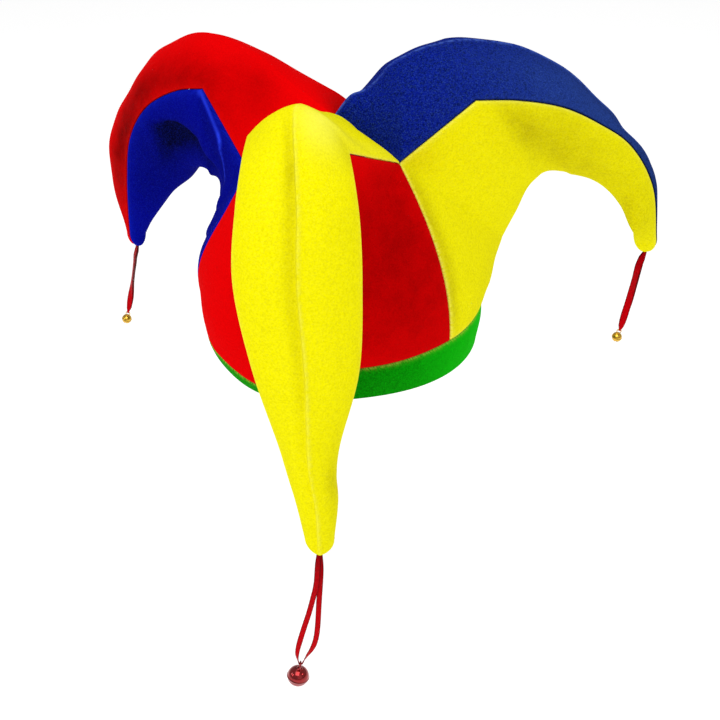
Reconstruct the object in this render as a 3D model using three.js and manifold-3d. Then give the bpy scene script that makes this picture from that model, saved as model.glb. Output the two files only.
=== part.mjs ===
// Three-horned jester hat: six felt panels sewn into a crown with three drooping horns, a felt band
// round the head opening, and a jingle bell that hangs on a satin ribbon from the tip of each horn.
// Millimetres, +Z up. The origin is the middle of the head opening and the front horn points to -Y.

import * as THREE from 'three';
import { mergeVertices } from 'three/addons/utils/BufferGeometryUtils.js';
import Module from 'manifold-3d';

const UP = new THREE.Vector3(0, 0, 1);

// Felt walls and their facets
const FELT = 2; // thickness of a panel
const SEAM_GAP = 0.3; // clearance between two sewn edges
const STRIPS = 10; // facets across a panel
const CROWN_STEPS = 5; // facets up the crown
const HORN_STEPS = 3; // facets from one section of a horn to the next
const TIP_STEPS = 2; // facets along a rounded tip
const BAND_STEPS = 3; // facets up the band

// Head opening, an oval 585 mm round. Its soft rim sags beside the front horn.
const RIM = { halfWidth: 99, halfDepth: 87 };
const SAG = { azimuth: 243, spread: 32, drop: 12 };

// Upper edge of the band round the head. It is low and leans out where the crown sags over it.
const BAND_EDGE = table(['azimuth', 'height', 'flare'], [
  [0, 34, 3],
  [90, 32, 2],
  [170, 31, 3],
  [195, 28, 3],
  [225, 21, 11],
  [250, 14, 9],
  [290, 29, 4],
  [330, 32, 3],
]);

const BAND_BELLY = 1.5; // how far the band bellies out between its edges

// Crown: its top, and the points between two horns where four panels meet. The foot is the azimuth
// where the seam below such a point reaches the band.
const APEX = new THREE.Vector3(-6, 0, 175);
const VALLEYS = {
  frontRight: { azimuth: 329, radius: 53, height: 159, foot: 329 },
  back: { azimuth: 90, radius: 58, height: 149, foot: 90 },
  frontLeft: { azimuth: 204, radius: 68, height: 142, foot: 197 },
};
const CROWN_BOW = 13; // how far a crown seam bows out between the band and its valley point
const VALLEY_DIP = 4; // how far a seam sags between the apex and its valley point

// Section of a horn: half the angle of its arc, and how far the ridge is folded to a crease
const ARC = { upper: 62, under: 72 };
const CREASE = 0.25;

// Tip of a horn: the last section rounds over towards the hole that its ribbon comes out of
const TIP = { length: 13, turn: 66, lead: 0.3 }; // lead: stations back that its axis is taken over

// A fold is a groove along a line on a panel laid flat, about this many millimetres to a station and
// from the centre line to a seam
const FLAT = { station: 40, across: 35 };
const FOLD = ['kind', 'fromStation', 'fromAcross', 'toStation', 'toAcross', 'spread', 'depth'];

// Horns. The ridge is the middle of the upper panel, the keel the middle of the under panel, and the
// seams run between them. Reach is measured from the hat's axis, sway to the counter-clockwise side.
const SECTION = [
  'ridgeReach', 'ridgeHeight', 'seamReach', 'seamHeight', 'halfWidth', 'keelReach', 'keelHeight',
  'sway', 'twist',
];
const HORNS = {
  front: {
    azimuth: 270,
    clockwise: 'frontLeft',
    counter: 'frontRight',
    root: { ridgeReach: 50, ridgeHeight: 205, keelReach: 98, keelHeight: 100, sway: -6 },
    sections: table(SECTION, [
      [84, 223, 75, 190, 35, 97, 160, -14, -3],
      [118, 203, 103, 185, 38, 102, 171, -7.5, -6],
      [138, 176, 118, 163, 41, 109, 158, -4.5, -12],
      [152, 130, 132, 122, 43, 118, 118, -2, -14],
      [162, 68, 143, 62, 36.5, 130, 58, 5, -14],
      [168, 7, 152, 4, 21, 142, 2, 9, -12],
      [170, -14, 155, -16, 17.5, 145, -17, 11.5, -12],
      [171, -34, 157, -35, 15.5, 147, -36, 15, -12],
      [170.5, -66, 160, -66, 11, 151.5, -66, 17.5, -10],
    ]),
    folds: table(FOLD, [
      ['upper', 3.2, -0.25, 5.5, -0.25, 12, 3],
      ['upper', 0.8, 0.7, 1.4, 0.75, 16, 16],
      ['upper', 1.9, -0.7, 2.5, -0.7, 13, 4],
    ]),
  },
  right: {
    azimuth: 25,
    clockwise: 'frontRight',
    counter: 'back',
    root: { ridgeReach: 36, ridgeHeight: 214, keelReach: 124, keelHeight: 62, sway: 0 },
    sections: table(SECTION, [
      [74, 224, 84, 196, 40, 143, 109, 0, -3],
      [118, 217, 115, 190.5, 36, 159, 115, 0, -3],
      [156, 198, 150, 178.5, 31, 178, 110, 0, -4],
      [188, 166, 179, 161, 26, 198, 96, 0, -4],
      [219, 133, 206, 137, 20, 210, 81, 0, -8],
      [239, 92, 227, 95, 14, 215, 63.5, 0, -26],
      [244, 48, 235.5, 47, 9.5, 227.5, 46, 0, -50],
    ]),
    folds: table(FOLD, [
      ['under', 2.5, -0.75, 3.2, -0.35, 16, 9],
      ['upper', 5.8, -0.3, 5.8, 0.3, 13, 4],
    ]),
  },
  left: {
    azimuth: 155,
    clockwise: 'back',
    counter: 'frontLeft',
    root: { ridgeReach: 42, ridgeHeight: 187, keelReach: 106, keelHeight: 62, sway: 0 },
    sections: table(SECTION, [
      [86, 201, 96, 178, 40, 112, 100, 0, 10],
      [124, 204, 123, 170, 36, 128, 97, 0, 5],
      [164, 184, 159, 147, 31, 147, 79, 0, 0],
      [198, 145, 185, 110, 24, 167, 59, 0, 0],
      [226, 96, 197, 70, 18, 183, 36, 0, 0],
      [231, 56, 205, 34, 12, 195, 20, 0, 0],
      [217.5, 9, 209, 11, 8.5, 201, 8, 0, 0],
    ]),
    folds: table(FOLD, [
      ['under', 1.9, 0.5, 4, 0.62, 12, 13],
      ['under', 0.9, 0.3, 1.6, 0.35, 15, 10],
    ]),
  },
};

// Satin ribbons. A route runs down the middle of what hangs; turn is the twist away from facing the
// front. The front ribbon is an open loop, listed strand by strand, and the others hang doubled.
const RIBBON_FACE = polar(1, 282, 0);
const RIBBON = { loop: 0.8, doubled: 0.6 }; // thickness of a layer
const LAYERS = 0.65; // half the distance between two layers
const WIRE_GAP = 0.35; // clearance between a ribbon and the wire that it is folded round
const ROUTE = ['x', 'y', 'z', 'width', 'turn'];
const FRONT_ROUTE = table(ROUTE, [
  [17.4, -163.3, -78, 2.4, 0],
  [17.2, -163.6, -82, 3.2, 0],
  [16.9, -163.8, -88, 4, 0],
  [16.5, -164, -95, 4, 0],
  [16, -164.3, -104, 4, 0],
  [14.9, -164.3, -112, 4, 0],
  [13.5, -164.4, -119, 4, 0],
  [12.1, -164.5, -126, 4, 0],
  [10.5, -164.7, -133.5, 4, 0],
  [8.7, -165, -141, 4, 5],
  [6.8, -165.2, -148.5, 4, 10],
  [5, -165.5, -156, 4, 15],
  [3.3, -165.8, -163.5, 4, 8],
  [1.9, -166, -170.5, 3.6, 15],
  [1.2, -166.1, -176.5, 3, 32],
  [1.5, -166.1, -181, 2.4, 62],
  [2.2, -166.1, -184, 1.6, 90],
  [2.6, -166, -185.1, 1.6, 90],
  [3.7, -165.8, -185.5, 1.6, 90],
  [4.8, -165.6, -185.1, 1.6, 90],
  [5.3, -165.5, -184, 1.6, 90],
  [7.1, -165.2, -180, 2.6, 56],
  [9.3, -164.7, -175.5, 3.2, 30],
  [11.4, -164.2, -171.5, 3.6, 16],
  [13.3, -163.8, -166.5, 4, 8],
  [14.6, -163.5, -161, 4, 5],
  [15.5, -163.3, -155, 4, 0],
  [16.1, -163.2, -148, 4, 0],
  [16.5, -163, -141, 4, 0],
  [16.8, -162.8, -133.5, 4, 0],
  [17.1, -162.6, -126, 4, 0],
  [17.5, -162.4, -118.5, 4, 0],
  [17.9, -162.3, -111, 4, 0],
  [18.3, -162.3, -104, 4, 0],
  [18.6, -162.1, -95, 4, 0],
  [18.5, -162.1, -88, 4, 0],
  [18.5, -162.2, -82, 3.2, 0],
  [18.4, -162.1, -78, 2.4, 0],
]);
const LEFT_ROUTE = table(ROUTE, [
  [-189.2, 88.2, 1, 1.4, 40],
  [-189.4, 88.2, -4, 2, 50],
  [-190.4, 88.2, -9, 4.2, 60],
  [-191.7, 88, -14, 5, 66],
  [-192.3, 87.6, -19, 5, 70],
  [-193.1, 87.3, -24, 5, 74],
  [-193.9, 87, -29, 5, 76],
  [-194.7, 86.8, -34, 5, 76],
  [-195.5, 86.6, -39, 5, 72],
  [-196.3, 86.4, -44, 5, 60],
  [-197.2, 86.2, -49, 5, 44],
  [-198.1, 86, -54, 5, 28],
  [-199.1, 85.8, -59, 4.6, 16],
  [-200, 85.6, -64, 3.8, 10],
  [-201, 85.4, -68.2, 1.3, 10],
]);
const RIGHT_ROUTE = table(ROUTE, [
  [214.7, 101.3, 38.5, 1.8, -10],
  [214.3, 101.1, 34, 2.4, -6],
  [212.5, 100, 28.5, 5, 8],
  [211.1, 98.9, 23, 5.6, 24],
  [210.4, 98.4, 18, 5.6, 38],
  [209.8, 98.3, 13, 5.6, 46],
  [209.2, 98.2, 8, 5.6, 48],
  [208.5, 98, 3, 5.6, 46],
  [207.8, 97.9, -2, 5.6, 40],
  [207, 97.7, -7.5, 5.6, 32],
  [206.1, 97.5, -13, 5.6, 22],
  [205.1, 97.3, -18.5, 5.6, 14],
  [204.2, 97.1, -24, 5.6, 8],
  [203.4, 96.9, -29, 5.2, 4],
  [202.6, 96.7, -33.5, 4, 0],
  [201.9, 96.5, -36.7, 1.3, 0],
]);

// Jingle bells: a thin shell with a slot across its foot, a rolled seam at the middle and a wire ring
const FRONT_BELL = { radius: 8, wall: 0.8, slot: 1.8, ring: 3, wire: 0.6, facets: 16 };
const SIDE_BELL = { radius: 4, wall: 0.6, slot: 1, ring: 1.7, wire: 0.35, facets: 12 };
const BELL_SEAM = 0.05; // how far the rolled seam stands out, as a share of the radius
const RING_SINK = 0.15; // how far the ring is sunk into the shell, as a share of its radius
const SLOT_TOP = 0.35; // how far below the bell's middle the slot ends, as a share of the radius
const FRONT_HANG = new THREE.Vector3(-0.15, -0.03, -1).normalize(); // way the front bell hangs

// Colours
const YELLOW = new THREE.Color('#f2e30c');
const RED = new THREE.Color('#c8101c');
const BLUE = new THREE.Color('#1c2a93');
const GREEN = new THREE.Color('#1f8a3c');
const GOLD = new THREE.Color('#c9a227');

// Turns rows of plain numbers into objects with named columns
function table(columns, rows) {
  return rows.map((row) => Object.fromEntries(columns.map((name, k) => [name, row[k]])));
}

function radians(degrees) {
  return THREE.MathUtils.degToRad(degrees);
}

function polar(radius, azimuth, height) {
  const turn = radians(azimuth);
  return new THREE.Vector3(radius * Math.cos(turn), radius * Math.sin(turn), height);
}

// Rim of the head opening
function rimPoint(azimuth) {
  const turn = radians(azimuth);
  const away = THREE.MathUtils.euclideanModulo(azimuth - SAG.azimuth + 180, 360) - 180;
  const sag = Math.exp(-((away / SAG.spread) ** 2));
  const height = -SAG.drop * sag;
  return new THREE.Vector3(RIM.halfWidth * Math.cos(turn), RIM.halfDepth * Math.sin(turn), height);
}

// Upper edge of the band, eased from row to row of its table
function bandEdge(azimuth) {
  const turn = THREE.MathUtils.euclideanModulo(azimuth, 360);
  const next = BAND_EDGE.findIndex((row) => row.azimuth > turn);
  const before = BAND_EDGE.at(next < 0 ? -1 : next - 1);
  const after = next < 0 ? { ...BAND_EDGE[0], azimuth: 360 } : BAND_EDGE[next];
  const ease = THREE.MathUtils.smoothstep(turn, before.azimuth, after.azimuth);
  const flare = THREE.MathUtils.lerp(before.flare, after.flare, ease);
  const height = THREE.MathUtils.lerp(before.height, after.height, ease);
  const foot = rimPoint(turn);
  const outwards = foot.clone().setZ(0).normalize();
  return foot.addScaledVector(outwards, flare).addScaledVector(UP, height);
}

function valleyPoint(valley) {
  return polar(valley.radius, valley.azimuth, valley.height);
}

// A line that bows out along a direction as a parabola
function bowed(from, to, direction, bow, share) {
  const point = from.clone().lerp(to, share);
  return point.addScaledVector(direction, 4 * bow * share * (1 - share));
}

// Seam from the band up to a valley point, between the under panels of two horns
function crownSeam(valley, share) {
  const outwards = polar(1, valley.azimuth, 0);
  return bowed(bandEdge(valley.foot), valleyPoint(valley), outwards, CROWN_BOW, share);
}

// Seam from the apex down to a valley point, between the upper panels of two horns
function valleySeam(valley, share) {
  return bowed(APEX, valleyPoint(valley), UP, -VALLEY_DIP, share);
}

function centripetal(points) {
  return new THREE.CatmullRomCurve3(points, false, 'centripetal');
}

// Lines that carry a horn's two panels. A station is 0 at the apex or the band, 1 at the valley
// points, 2 at the first section of the table and so on, up to the last section.
function railsOf(horn) {
  const out = polar(1, horn.azimuth, 0);
  const side = UP.clone().cross(out);
  const place = (reach, height, sway) =>
    polar(0, 0, height).addScaledVector(out, reach).addScaledVector(side, sway);
  const sections = horn.sections.map((row) => {
    const middle = place(row.seamReach, row.seamHeight, row.sway);
    const points = {
      clockwise: middle.clone().addScaledVector(side, -row.halfWidth),
      counter: middle.clone().addScaledVector(side, row.halfWidth),
      ridge: place(row.ridgeReach, row.ridgeHeight, row.sway),
      keel: place(row.keelReach, row.keelHeight, row.sway),
    };
    const axis = side.clone().cross(points.ridge.clone().sub(points.keel)).normalize();
    for (const point of Object.values(points)) {
      point.sub(middle).applyAxisAngle(axis, radians(row.twist)).add(middle);
    }
    return points;
  });
  const from = VALLEYS[horn.clockwise].foot;
  const sweep = THREE.MathUtils.euclideanModulo(VALLEYS[horn.counter].foot - from, 360);
  const last = sections.length + 1;
  const { root } = horn;
  const ridge = centripetal([
    APEX,
    place(root.ridgeReach, root.ridgeHeight, root.sway),
    ...sections.map((section) => section.ridge),
  ]);
  const keel = centripetal([
    bandEdge(from + sweep / 2),
    place(root.keelReach, root.keelHeight, root.sway),
    ...sections.map((section) => section.keel),
  ]);
  const seamOf = (edge) => {
    const valley = VALLEYS[horn[edge]];
    const start = valleyPoint(valley);
    const points = sections.map((section) => section[edge]);
    const curve = centripetal(points);
    return (kind, station) => {
      if (station <= 1) {
        return kind === 'upper' ? valleySeam(valley, station) : crownSeam(valley, station);
      }
      if (station <= 2) {
        return start.clone().lerp(points[0], station - 1);
      }
      return curve.getPoint((station - 2) / (last - 2));
    };
  };
  const centre = { upper: ridge, under: keel };
  return {
    from,
    sweep,
    last,
    folds: horn.folds,
    clockwise: seamOf('clockwise'),
    counter: seamOf('counter'),
    centre: (kind, station) => centre[kind].getPoint(station / last),
  };
}

// How far the folds push a point of a panel in. They fade out towards the seams.
function foldDepth(folds, kind, station, across) {
  const flat = (atStation, atAcross) =>
    new THREE.Vector3(atStation * FLAT.station, atAcross * FLAT.across, 0);
  const depths = folds.filter((fold) => fold.kind === kind).map((fold) => {
    const start = flat(fold.fromStation, fold.fromAcross);
    const line = new THREE.Line3(start, flat(fold.toStation, fold.toAcross));
    const point = flat(station, across);
    const nearest = line.closestPointToPoint(point, true, new THREE.Vector3());
    return fold.depth * Math.exp(-((point.distanceTo(nearest) / fold.spread) ** 2));
  });
  return depths.reduce((sum, depth) => sum + depth, 0) * (1 - across ** 2);
}

// A panel's row of points from one seam over its centre line to the other: an arc of a circle that is
// stretched to pass through all three, folded a little at the middle on an upper panel
function panelRow(rails, kind, station) {
  const start = rails.clockwise(kind, station);
  const end = rails.counter(kind, station);
  const middle = start.clone().lerp(end, 0.5);
  const half = end.clone().sub(middle);
  const rise = rails.centre(kind, station).sub(middle);
  const outwards = rise.clone().normalize();
  const blend = THREE.MathUtils.clamp((station - 1) / 2, 0, 1);
  const degrees = kind === 'upper' ? ARC.upper : THREE.MathUtils.lerp(rails.sweep / 2, ARC.under, blend);
  const arc = radians(degrees);
  const crease = kind === 'upper' ? CREASE : 0;
  return Array.from({ length: STRIPS + 1 }, (_, k) => {
    const across = (2 * k) / STRIPS - 1;
    const along = Math.sin(arc * across) / Math.sin(arc);
    const round = (Math.cos(arc * across) - Math.cos(arc)) / (1 - Math.cos(arc));
    const height = THREE.MathUtils.lerp(round, 1 - Math.abs(across), crease);
    const point = middle.clone().addScaledVector(half, along).addScaledVector(rise, height);
    return point.addScaledVector(outwards, -foldDepth(rails.folds, kind, station, across));
  });
}

function stationsOf(last) {
  const stations = [0];
  for (let segment = 0; segment < last; segment += 1) {
    const steps = segment === 0 ? CROWN_STEPS : HORN_STEPS;
    for (let k = 1; k <= steps; k += 1) {
      stations.push(segment + k / steps);
    }
  }
  return stations;
}

// Azimuths of the facets' corners along the band's edge under one horn
function sectorAzimuths(rails) {
  return Array.from({ length: STRIPS + 1 }, (_, k) => rails.from + (rails.sweep * k) / STRIPS);
}

// Draws the lower rows of an under panel to the band's edge, less and less up to the valley points
function meetBand(grid, stations, rails) {
  const shifts = sectorAzimuths(rails).map((azimuth, k) => bandEdge(azimuth).sub(grid[0][k]));
  grid.forEach((row, i) => {
    const pull = Math.max(1 - stations[i], 0) ** 1.5;
    row.forEach((point, k) => point.addScaledVector(shifts[k], pull));
  });
}

function tipCentre(rails, station) {
  const sum = rails.clockwise('upper', station).add(rails.counter('upper', station));
  sum.add(rails.centre('upper', station)).add(rails.centre('under', station));
  return sum.divideScalar(4);
}

// Rows that shrink the last section towards its centre while they move on along a quarter ellipse
function tipRows(lastRow, rails) {
  const centre = tipCentre(rails, rails.last);
  const axis = centre.clone().sub(tipCentre(rails, rails.last - TIP.lead)).normalize();
  return Array.from({ length: TIP_STEPS }, (_, k) => {
    const turn = radians((TIP.turn * (k + 1)) / TIP_STEPS);
    const shift = axis.clone().multiplyScalar(TIP.length * Math.sin(turn));
    return lastRow.map((point) => centre.clone().lerp(point, Math.cos(turn)).add(shift));
  });
}

// Outer surface of one felt panel, as rows of points from the crown to the tip
function panelGrid(horn, kind) {
  const rails = railsOf(horn);
  const stations = stationsOf(rails.last);
  const grid = stations.map((station) => panelRow(rails, kind, station));
  if (kind === 'under') {
    meetBand(grid, stations, rails);
  }
  return [...grid, ...tipRows(grid.at(-1), rails)];
}

// Outer surface of the band, with its corners under those of the panels. It bellies out a little.
function bandGrid() {
  const azimuths = Object.values(HORNS).flatMap((horn) => sectorAzimuths(railsOf(horn)).slice(0, -1));
  const around = [...azimuths, azimuths[0]];
  return Array.from({ length: BAND_STEPS + 1 }, (_, k) =>
    around.map((azimuth) => {
      const outwards = polar(1, azimuth, 0);
      return bowed(rimPoint(azimuth), bandEdge(azimuth), outwards, BAND_BELLY, k / BAND_STEPS);
    }),
  );
}

function cornerKey(point) {
  return point.toArray().map((value) => Math.round(value * 100)).join();
}

// Normals of one skin by corner, each the mean of the facets that meet there
function skinNormals({ grid, outward }) {
  const sums = new Map();
  const addFace = (a, b, c) => {
    const normal = b.clone().sub(a).cross(c.clone().sub(a)).multiplyScalar(outward);
    for (const point of [a, b, c]) {
      const key = cornerKey(point);
      sums.set(key, (sums.get(key) ?? new THREE.Vector3()).add(normal));
    }
  };
  for (let i = 0; i + 1 < grid.length; i += 1) {
    for (let k = 0; k + 1 < grid[i].length; k += 1) {
      addFace(grid[i][k], grid[i + 1][k], grid[i + 1][k + 1]);
      addFace(grid[i][k], grid[i + 1][k + 1], grid[i][k + 1]);
    }
  }
  return sums;
}

// Adds unit vectors up by their keys
function addUnits(maps) {
  const sums = new Map();
  for (const map of maps) {
    for (const [key, vector] of map) {
      sums.set(key, (sums.get(key) ?? new THREE.Vector3()).add(vector.clone().normalize()));
    }
  }
  return sums;
}

// Skins that meet share the mean of their normals at the seam, so that their cut edges are mitred.
// Skins of one kind are averaged first, which keeps the sharp valleys between horns even.
function sharedNormals(skins) {
  const kinds = [...new Set(skins.map((skin) => skin.kind))];
  const shared = addUnits(
    kinds.map((kind) => addUnits(skins.filter((skin) => skin.kind === kind).map(skinNormals))),
  );
  return (point) => shared.get(cornerKey(point)).clone().normalize();
}

// Half a seam gap from an edge into the surface, square to the two stretches that meet at a corner
function stepInside(corner, before, after, normal, inner) {
  const inwards = inner.clone().sub(corner);
  const square = (from, to) => {
    const step = to.clone().sub(from).cross(normal).normalize();
    return step.dot(inwards) < 0 ? step.negate() : step;
  };
  const steps = [[before, corner], [corner, after]]
    .filter(([from, to]) => from !== to)
    .map(([from, to]) => square(from, to));
  const first = steps[0];
  const second = steps.at(-1);
  return first.clone().add(second).multiplyScalar(SEAM_GAP / 2 / (1 + first.dot(second)));
}

// How far a corner moves into its own panel to leave the seam gaps. A panel that starts in a point
// moves that point along its middle line.
function edgeStep(grid, i, k, normal, ring) {
  const last = grid.length - 1;
  const wide = grid[i].length - 1;
  const corner = grid[i][k];
  const step = new THREE.Vector3();
  if (!ring && i === 0 && grid[0][0].distanceTo(grid[0][wide]) < SEAM_GAP) {
    return grid[1][wide / 2].clone().sub(corner).setLength(SEAM_GAP);
  }
  if (!ring && (k === 0 || k === wide)) {
    const before = grid[Math.max(i - 1, 0)][k];
    const after = grid[Math.min(i + 1, last)][k];
    step.add(stepInside(corner, before, after, normal, grid[i][k === 0 ? 1 : wide - 1]));
  }
  if (i === 0 || i === last) {
    const before = grid[i][ring ? (k + wide - 1) % wide : Math.max(k - 1, 0)];
    const after = grid[i][ring ? (k + 1) % wide : Math.min(k + 1, wide)];
    step.add(stepInside(corner, before, after, normal, grid[i === 0 ? 1 : last - 1][k]));
  }
  return step;
}

// Joins corners that lie at the same place and drops facets that have shrunk to a line
function welded(geometry) {
  geometry.deleteAttribute('normal');
  geometry.deleteAttribute('uv');
  const merged = mergeVertices(geometry, 1e-4);
  const corners = merged.index.array;
  const kept = [];
  for (let k = 0; k < corners.length; k += 3) {
    const [a, b, c] = corners.slice(k, k + 3);
    if (a !== b && b !== c && c !== a) {
      kept.push(a, b, c);
    }
  }
  merged.setIndex(kept);
  merged.computeVertexNormals();
  return merged;
}

// Closed felt wall: the outer grid, a copy of it one thickness further in, and the cut edges
function wallGeometry({ grid, outward, ring }, normalAt) {
  const rows = grid.length;
  const columns = grid[0].length;
  const outer = [];
  const inner = [];
  grid.forEach((row, i) =>
    row.forEach((corner, k) => {
      const normal = normalAt(corner);
      const point = corner.clone().add(edgeStep(grid, i, k, normal, ring));
      outer.push(point);
      inner.push(point.clone().addScaledVector(normal, -FELT));
    }),
  );
  const index = [];
  const quad = (a, b, c, d) => {
    const turned = outward > 0 ? [a, b, c, a, c, d] : [a, c, b, a, d, c];
    index.push(...turned);
  };
  const out = (i, k) => i * columns + k;
  const into = (i, k) => rows * columns + i * columns + k;
  const bottom = rows - 1;
  const right = columns - 1;
  for (let i = 0; i < bottom; i += 1) {
    for (let k = 0; k < right; k += 1) {
      quad(out(i, k), out(i + 1, k), out(i + 1, k + 1), out(i, k + 1));
      quad(into(i, k), into(i, k + 1), into(i + 1, k + 1), into(i + 1, k));
    }
    if (!ring) {
      quad(out(i + 1, 0), out(i, 0), into(i, 0), into(i + 1, 0));
      quad(out(i, right), out(i + 1, right), into(i + 1, right), into(i, right));
    }
  }
  for (let k = 0; k < right; k += 1) {
    quad(out(0, k), out(0, k + 1), into(0, k + 1), into(0, k));
    quad(out(bottom, k + 1), out(bottom, k), into(bottom, k), into(bottom, k + 1));
  }
  const geometry = new THREE.BufferGeometry().setFromPoints([...outer, ...inner]);
  geometry.setIndex(index);
  return welded(geometry);
}

// Frames along a ribbon: the centre, its half width across and its half thickness through
function ribbonFrames(route, thickness) {
  const centres = route.map((row) => new THREE.Vector3(row.x, row.y, row.z));
  return route.map((row, k) => {
    const next = centres[Math.min(k + 1, centres.length - 1)];
    const tangent = next.clone().sub(centres[Math.max(k - 1, 0)]).normalize();
    const across = RIBBON_FACE.clone().cross(tangent).normalize();
    across.applyAxisAngle(tangent, radians(row.turn));
    const through = tangent.clone().cross(across).setLength(thickness / 2);
    return { centre: centres[k], across: across.setLength(row.width / 2), through, tangent };
  });
}

// Frames of a doubled ribbon: down one layer, round the wire of the bell's ring and up the other
function doubledFrames(frames, wire) {
  const half = RIBBON.doubled / 2;
  const end = frames.at(-1);
  const bend = wire + WIRE_GAP + half;
  const layer = (frame, degrees, apart) => {
    const way = frame.through.clone().multiplyScalar(Math.cos(radians(degrees)) / half);
    way.addScaledVector(frame.tangent, Math.sin(radians(degrees)));
    const centre = frame.centre.clone().addScaledVector(way, apart);
    return { ...frame, centre, through: way.multiplyScalar(half) };
  };
  const apart = (frame) => (frame === end ? bend : LAYERS);
  const down = frames.map((frame) => layer(frame, 0, apart(frame)));
  const fold = [45, 90, 135].map((degrees) => layer(end, degrees, bend));
  const up = frames.map((frame) => layer(frame, 180, apart(frame))).reverse();
  return [...down, ...fold, ...up];
}

// Flat strip with four corners at each frame and a face at each end
function stripGeometry(frames) {
  const points = frames.flatMap(({ centre, across, through }) =>
    [[-1, -1], [1, -1], [1, 1], [-1, 1]].map(([a, t]) =>
      centre.clone().addScaledVector(across, a).addScaledVector(through, t),
    ),
  );
  const index = [];
  const quad = (a, b, c, d) => index.push(a, b, c, a, c, d);
  const end = 4 * (frames.length - 1);
  for (let base = 0; base < end; base += 4) {
    for (let k = 0; k < 4; k += 1) {
      const next = (k + 1) % 4;
      quad(base + k, base + next, base + 4 + next, base + 4 + k);
    }
  }
  quad(3, 2, 1, 0);
  quad(end, end + 1, end + 2, end + 3);
  const geometry = new THREE.BufferGeometry().setFromPoints(points);
  geometry.setIndex(index);
  return welded(geometry);
}

const wasm = await Module();
wasm.setup();

function solidOf(geometry) {
  const closed = welded(geometry);
  const vertProperties = new Float32Array(closed.attributes.position.array);
  const triVerts = new Uint32Array(closed.index.array);
  return new wasm.Manifold(new wasm.Mesh({ numProp: 3, vertProperties, triVerts }));
}

function geometryOf(solid) {
  const mesh = solid.getMesh();
  const geometry = new THREE.BufferGeometry();
  geometry.setAttribute('position', new THREE.BufferAttribute(mesh.vertProperties.slice(), 3));
  geometry.setIndex([...mesh.triVerts]);
  geometry.computeVertexNormals();
  return geometry;
}

// Jingle bell round the origin with its ring on top, seen face-on along Y, and its slot along Y
function bellGeometry({ radius, wall, slot, ring, wire, facets }) {
  const ball = (size, sides) => new THREE.SphereGeometry(size, sides, sides * 0.6).rotateX(Math.PI / 2);
  const seam = new THREE.TorusGeometry(radius, BELL_SEAM * radius, 6, facets);
  const loop = new THREE.TorusGeometry(ring, wire, 6, 10).rotateX(Math.PI / 2);
  loop.translate(0, 0, radius + ring * (1 - RING_SINK));
  const hollow = ball(radius - wall, facets - 4);
  const cut = new THREE.BoxGeometry(slot, 4 * radius, radius);
  cut.translate(0, 0, -(SLOT_TOP + 0.5) * radius);
  const shell = solidOf(ball(radius, facets)).add(solidOf(seam)).add(solidOf(loop));
  return geometryOf(shell.subtract(solidOf(hollow)).subtract(solidOf(cut)));
}

function material(colour, roughness, metalness) {
  return new THREE.MeshStandardMaterial({ color: colour, roughness, metalness });
}

function piece(name, geometry, finish) {
  const mesh = new THREE.Mesh(geometry, finish);
  mesh.name = name;
  return mesh;
}

function felt(colour) {
  return material(colour, 0.95, 0);
}

function satin(colour) {
  return material(colour, 0.4, 0);
}

// Felt panels and band
function feltPieces() {
  const panels = [
    { name: 'front_horn_upper', horn: HORNS.front, kind: 'upper', colour: YELLOW },
    { name: 'front_under', horn: HORNS.front, kind: 'under', colour: RED },
    { name: 'left_horn_upper', horn: HORNS.left, kind: 'upper', colour: RED },
    { name: 'left_under', horn: HORNS.left, kind: 'under', colour: BLUE },
    { name: 'right_horn_upper', horn: HORNS.right, kind: 'upper', colour: BLUE },
    { name: 'right_under', horn: HORNS.right, kind: 'under', colour: YELLOW },
  ];
  const skins = panels.map((panel) => ({
    ...panel,
    grid: panelGrid(panel.horn, panel.kind),
    outward: panel.kind === 'upper' ? 1 : -1,
  }));
  skins.push({ name: 'band', kind: 'band', colour: GREEN, grid: bandGrid(), outward: -1, ring: true });
  const normalAt = sharedNormals(skins);
  return skins.map((skin) => piece(skin.name, wallGeometry(skin, normalAt), felt(skin.colour)));
}

// Bell whose ring's upper wire passes through a point and that hangs along a direction
function hungBell(name, bell, colour, wirePoint, down, ringAxis) {
  const mesh = piece(name, bellGeometry(bell), material(colour, 0.25, 1));
  const drop = bell.radius + bell.ring * (2 - RING_SINK);
  const z = down.clone().negate();
  const y = ringAxis.clone().addScaledVector(z, -ringAxis.dot(z)).normalize();
  const x = y.clone().cross(z);
  mesh.position.copy(wirePoint).addScaledVector(down, drop);
  mesh.quaternion.setFromRotationMatrix(new THREE.Matrix4().makeBasis(x, y, z));
  return mesh;
}

function sideBell(side, route) {
  const frames = ribbonFrames(route, RIBBON.doubled);
  const end = frames.at(-1);
  const strip = stripGeometry(doubledFrames(frames, SIDE_BELL.wire));
  const ringAxis = end.through.clone().normalize();
  return [
    piece(`${side}_ribbon`, strip, satin(RED)),
    hungBell(`${side}_bell`, SIDE_BELL, GOLD, end.centre, end.tangent, ringAxis),
  ];
}

function frontBell() {
  const strip = stripGeometry(ribbonFrames(FRONT_ROUTE, RIBBON.loop));
  const low = FRONT_ROUTE.reduce((lowest, row) => (row.z < lowest.z ? row : lowest));
  const wireRise = FRONT_BELL.wire + WIRE_GAP + RIBBON.loop / 2;
  const wirePoint = new THREE.Vector3(low.x, low.y, low.z + wireRise);
  const ringAxis = RIBBON_FACE.clone().cross(UP);
  return [
    piece('front_ribbon', strip, satin(RED)),
    hungBell('front_bell', FRONT_BELL, RED, wirePoint, FRONT_HANG, ringAxis),
  ];
}

const hat = new THREE.Group();
hat.name = 'jester_hat';
hat.add(...feltPieces(), ...frontBell(), ...sideBell('left', LEFT_ROUTE), ...sideBell('right', RIGHT_ROUTE));

export default hat;
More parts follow.
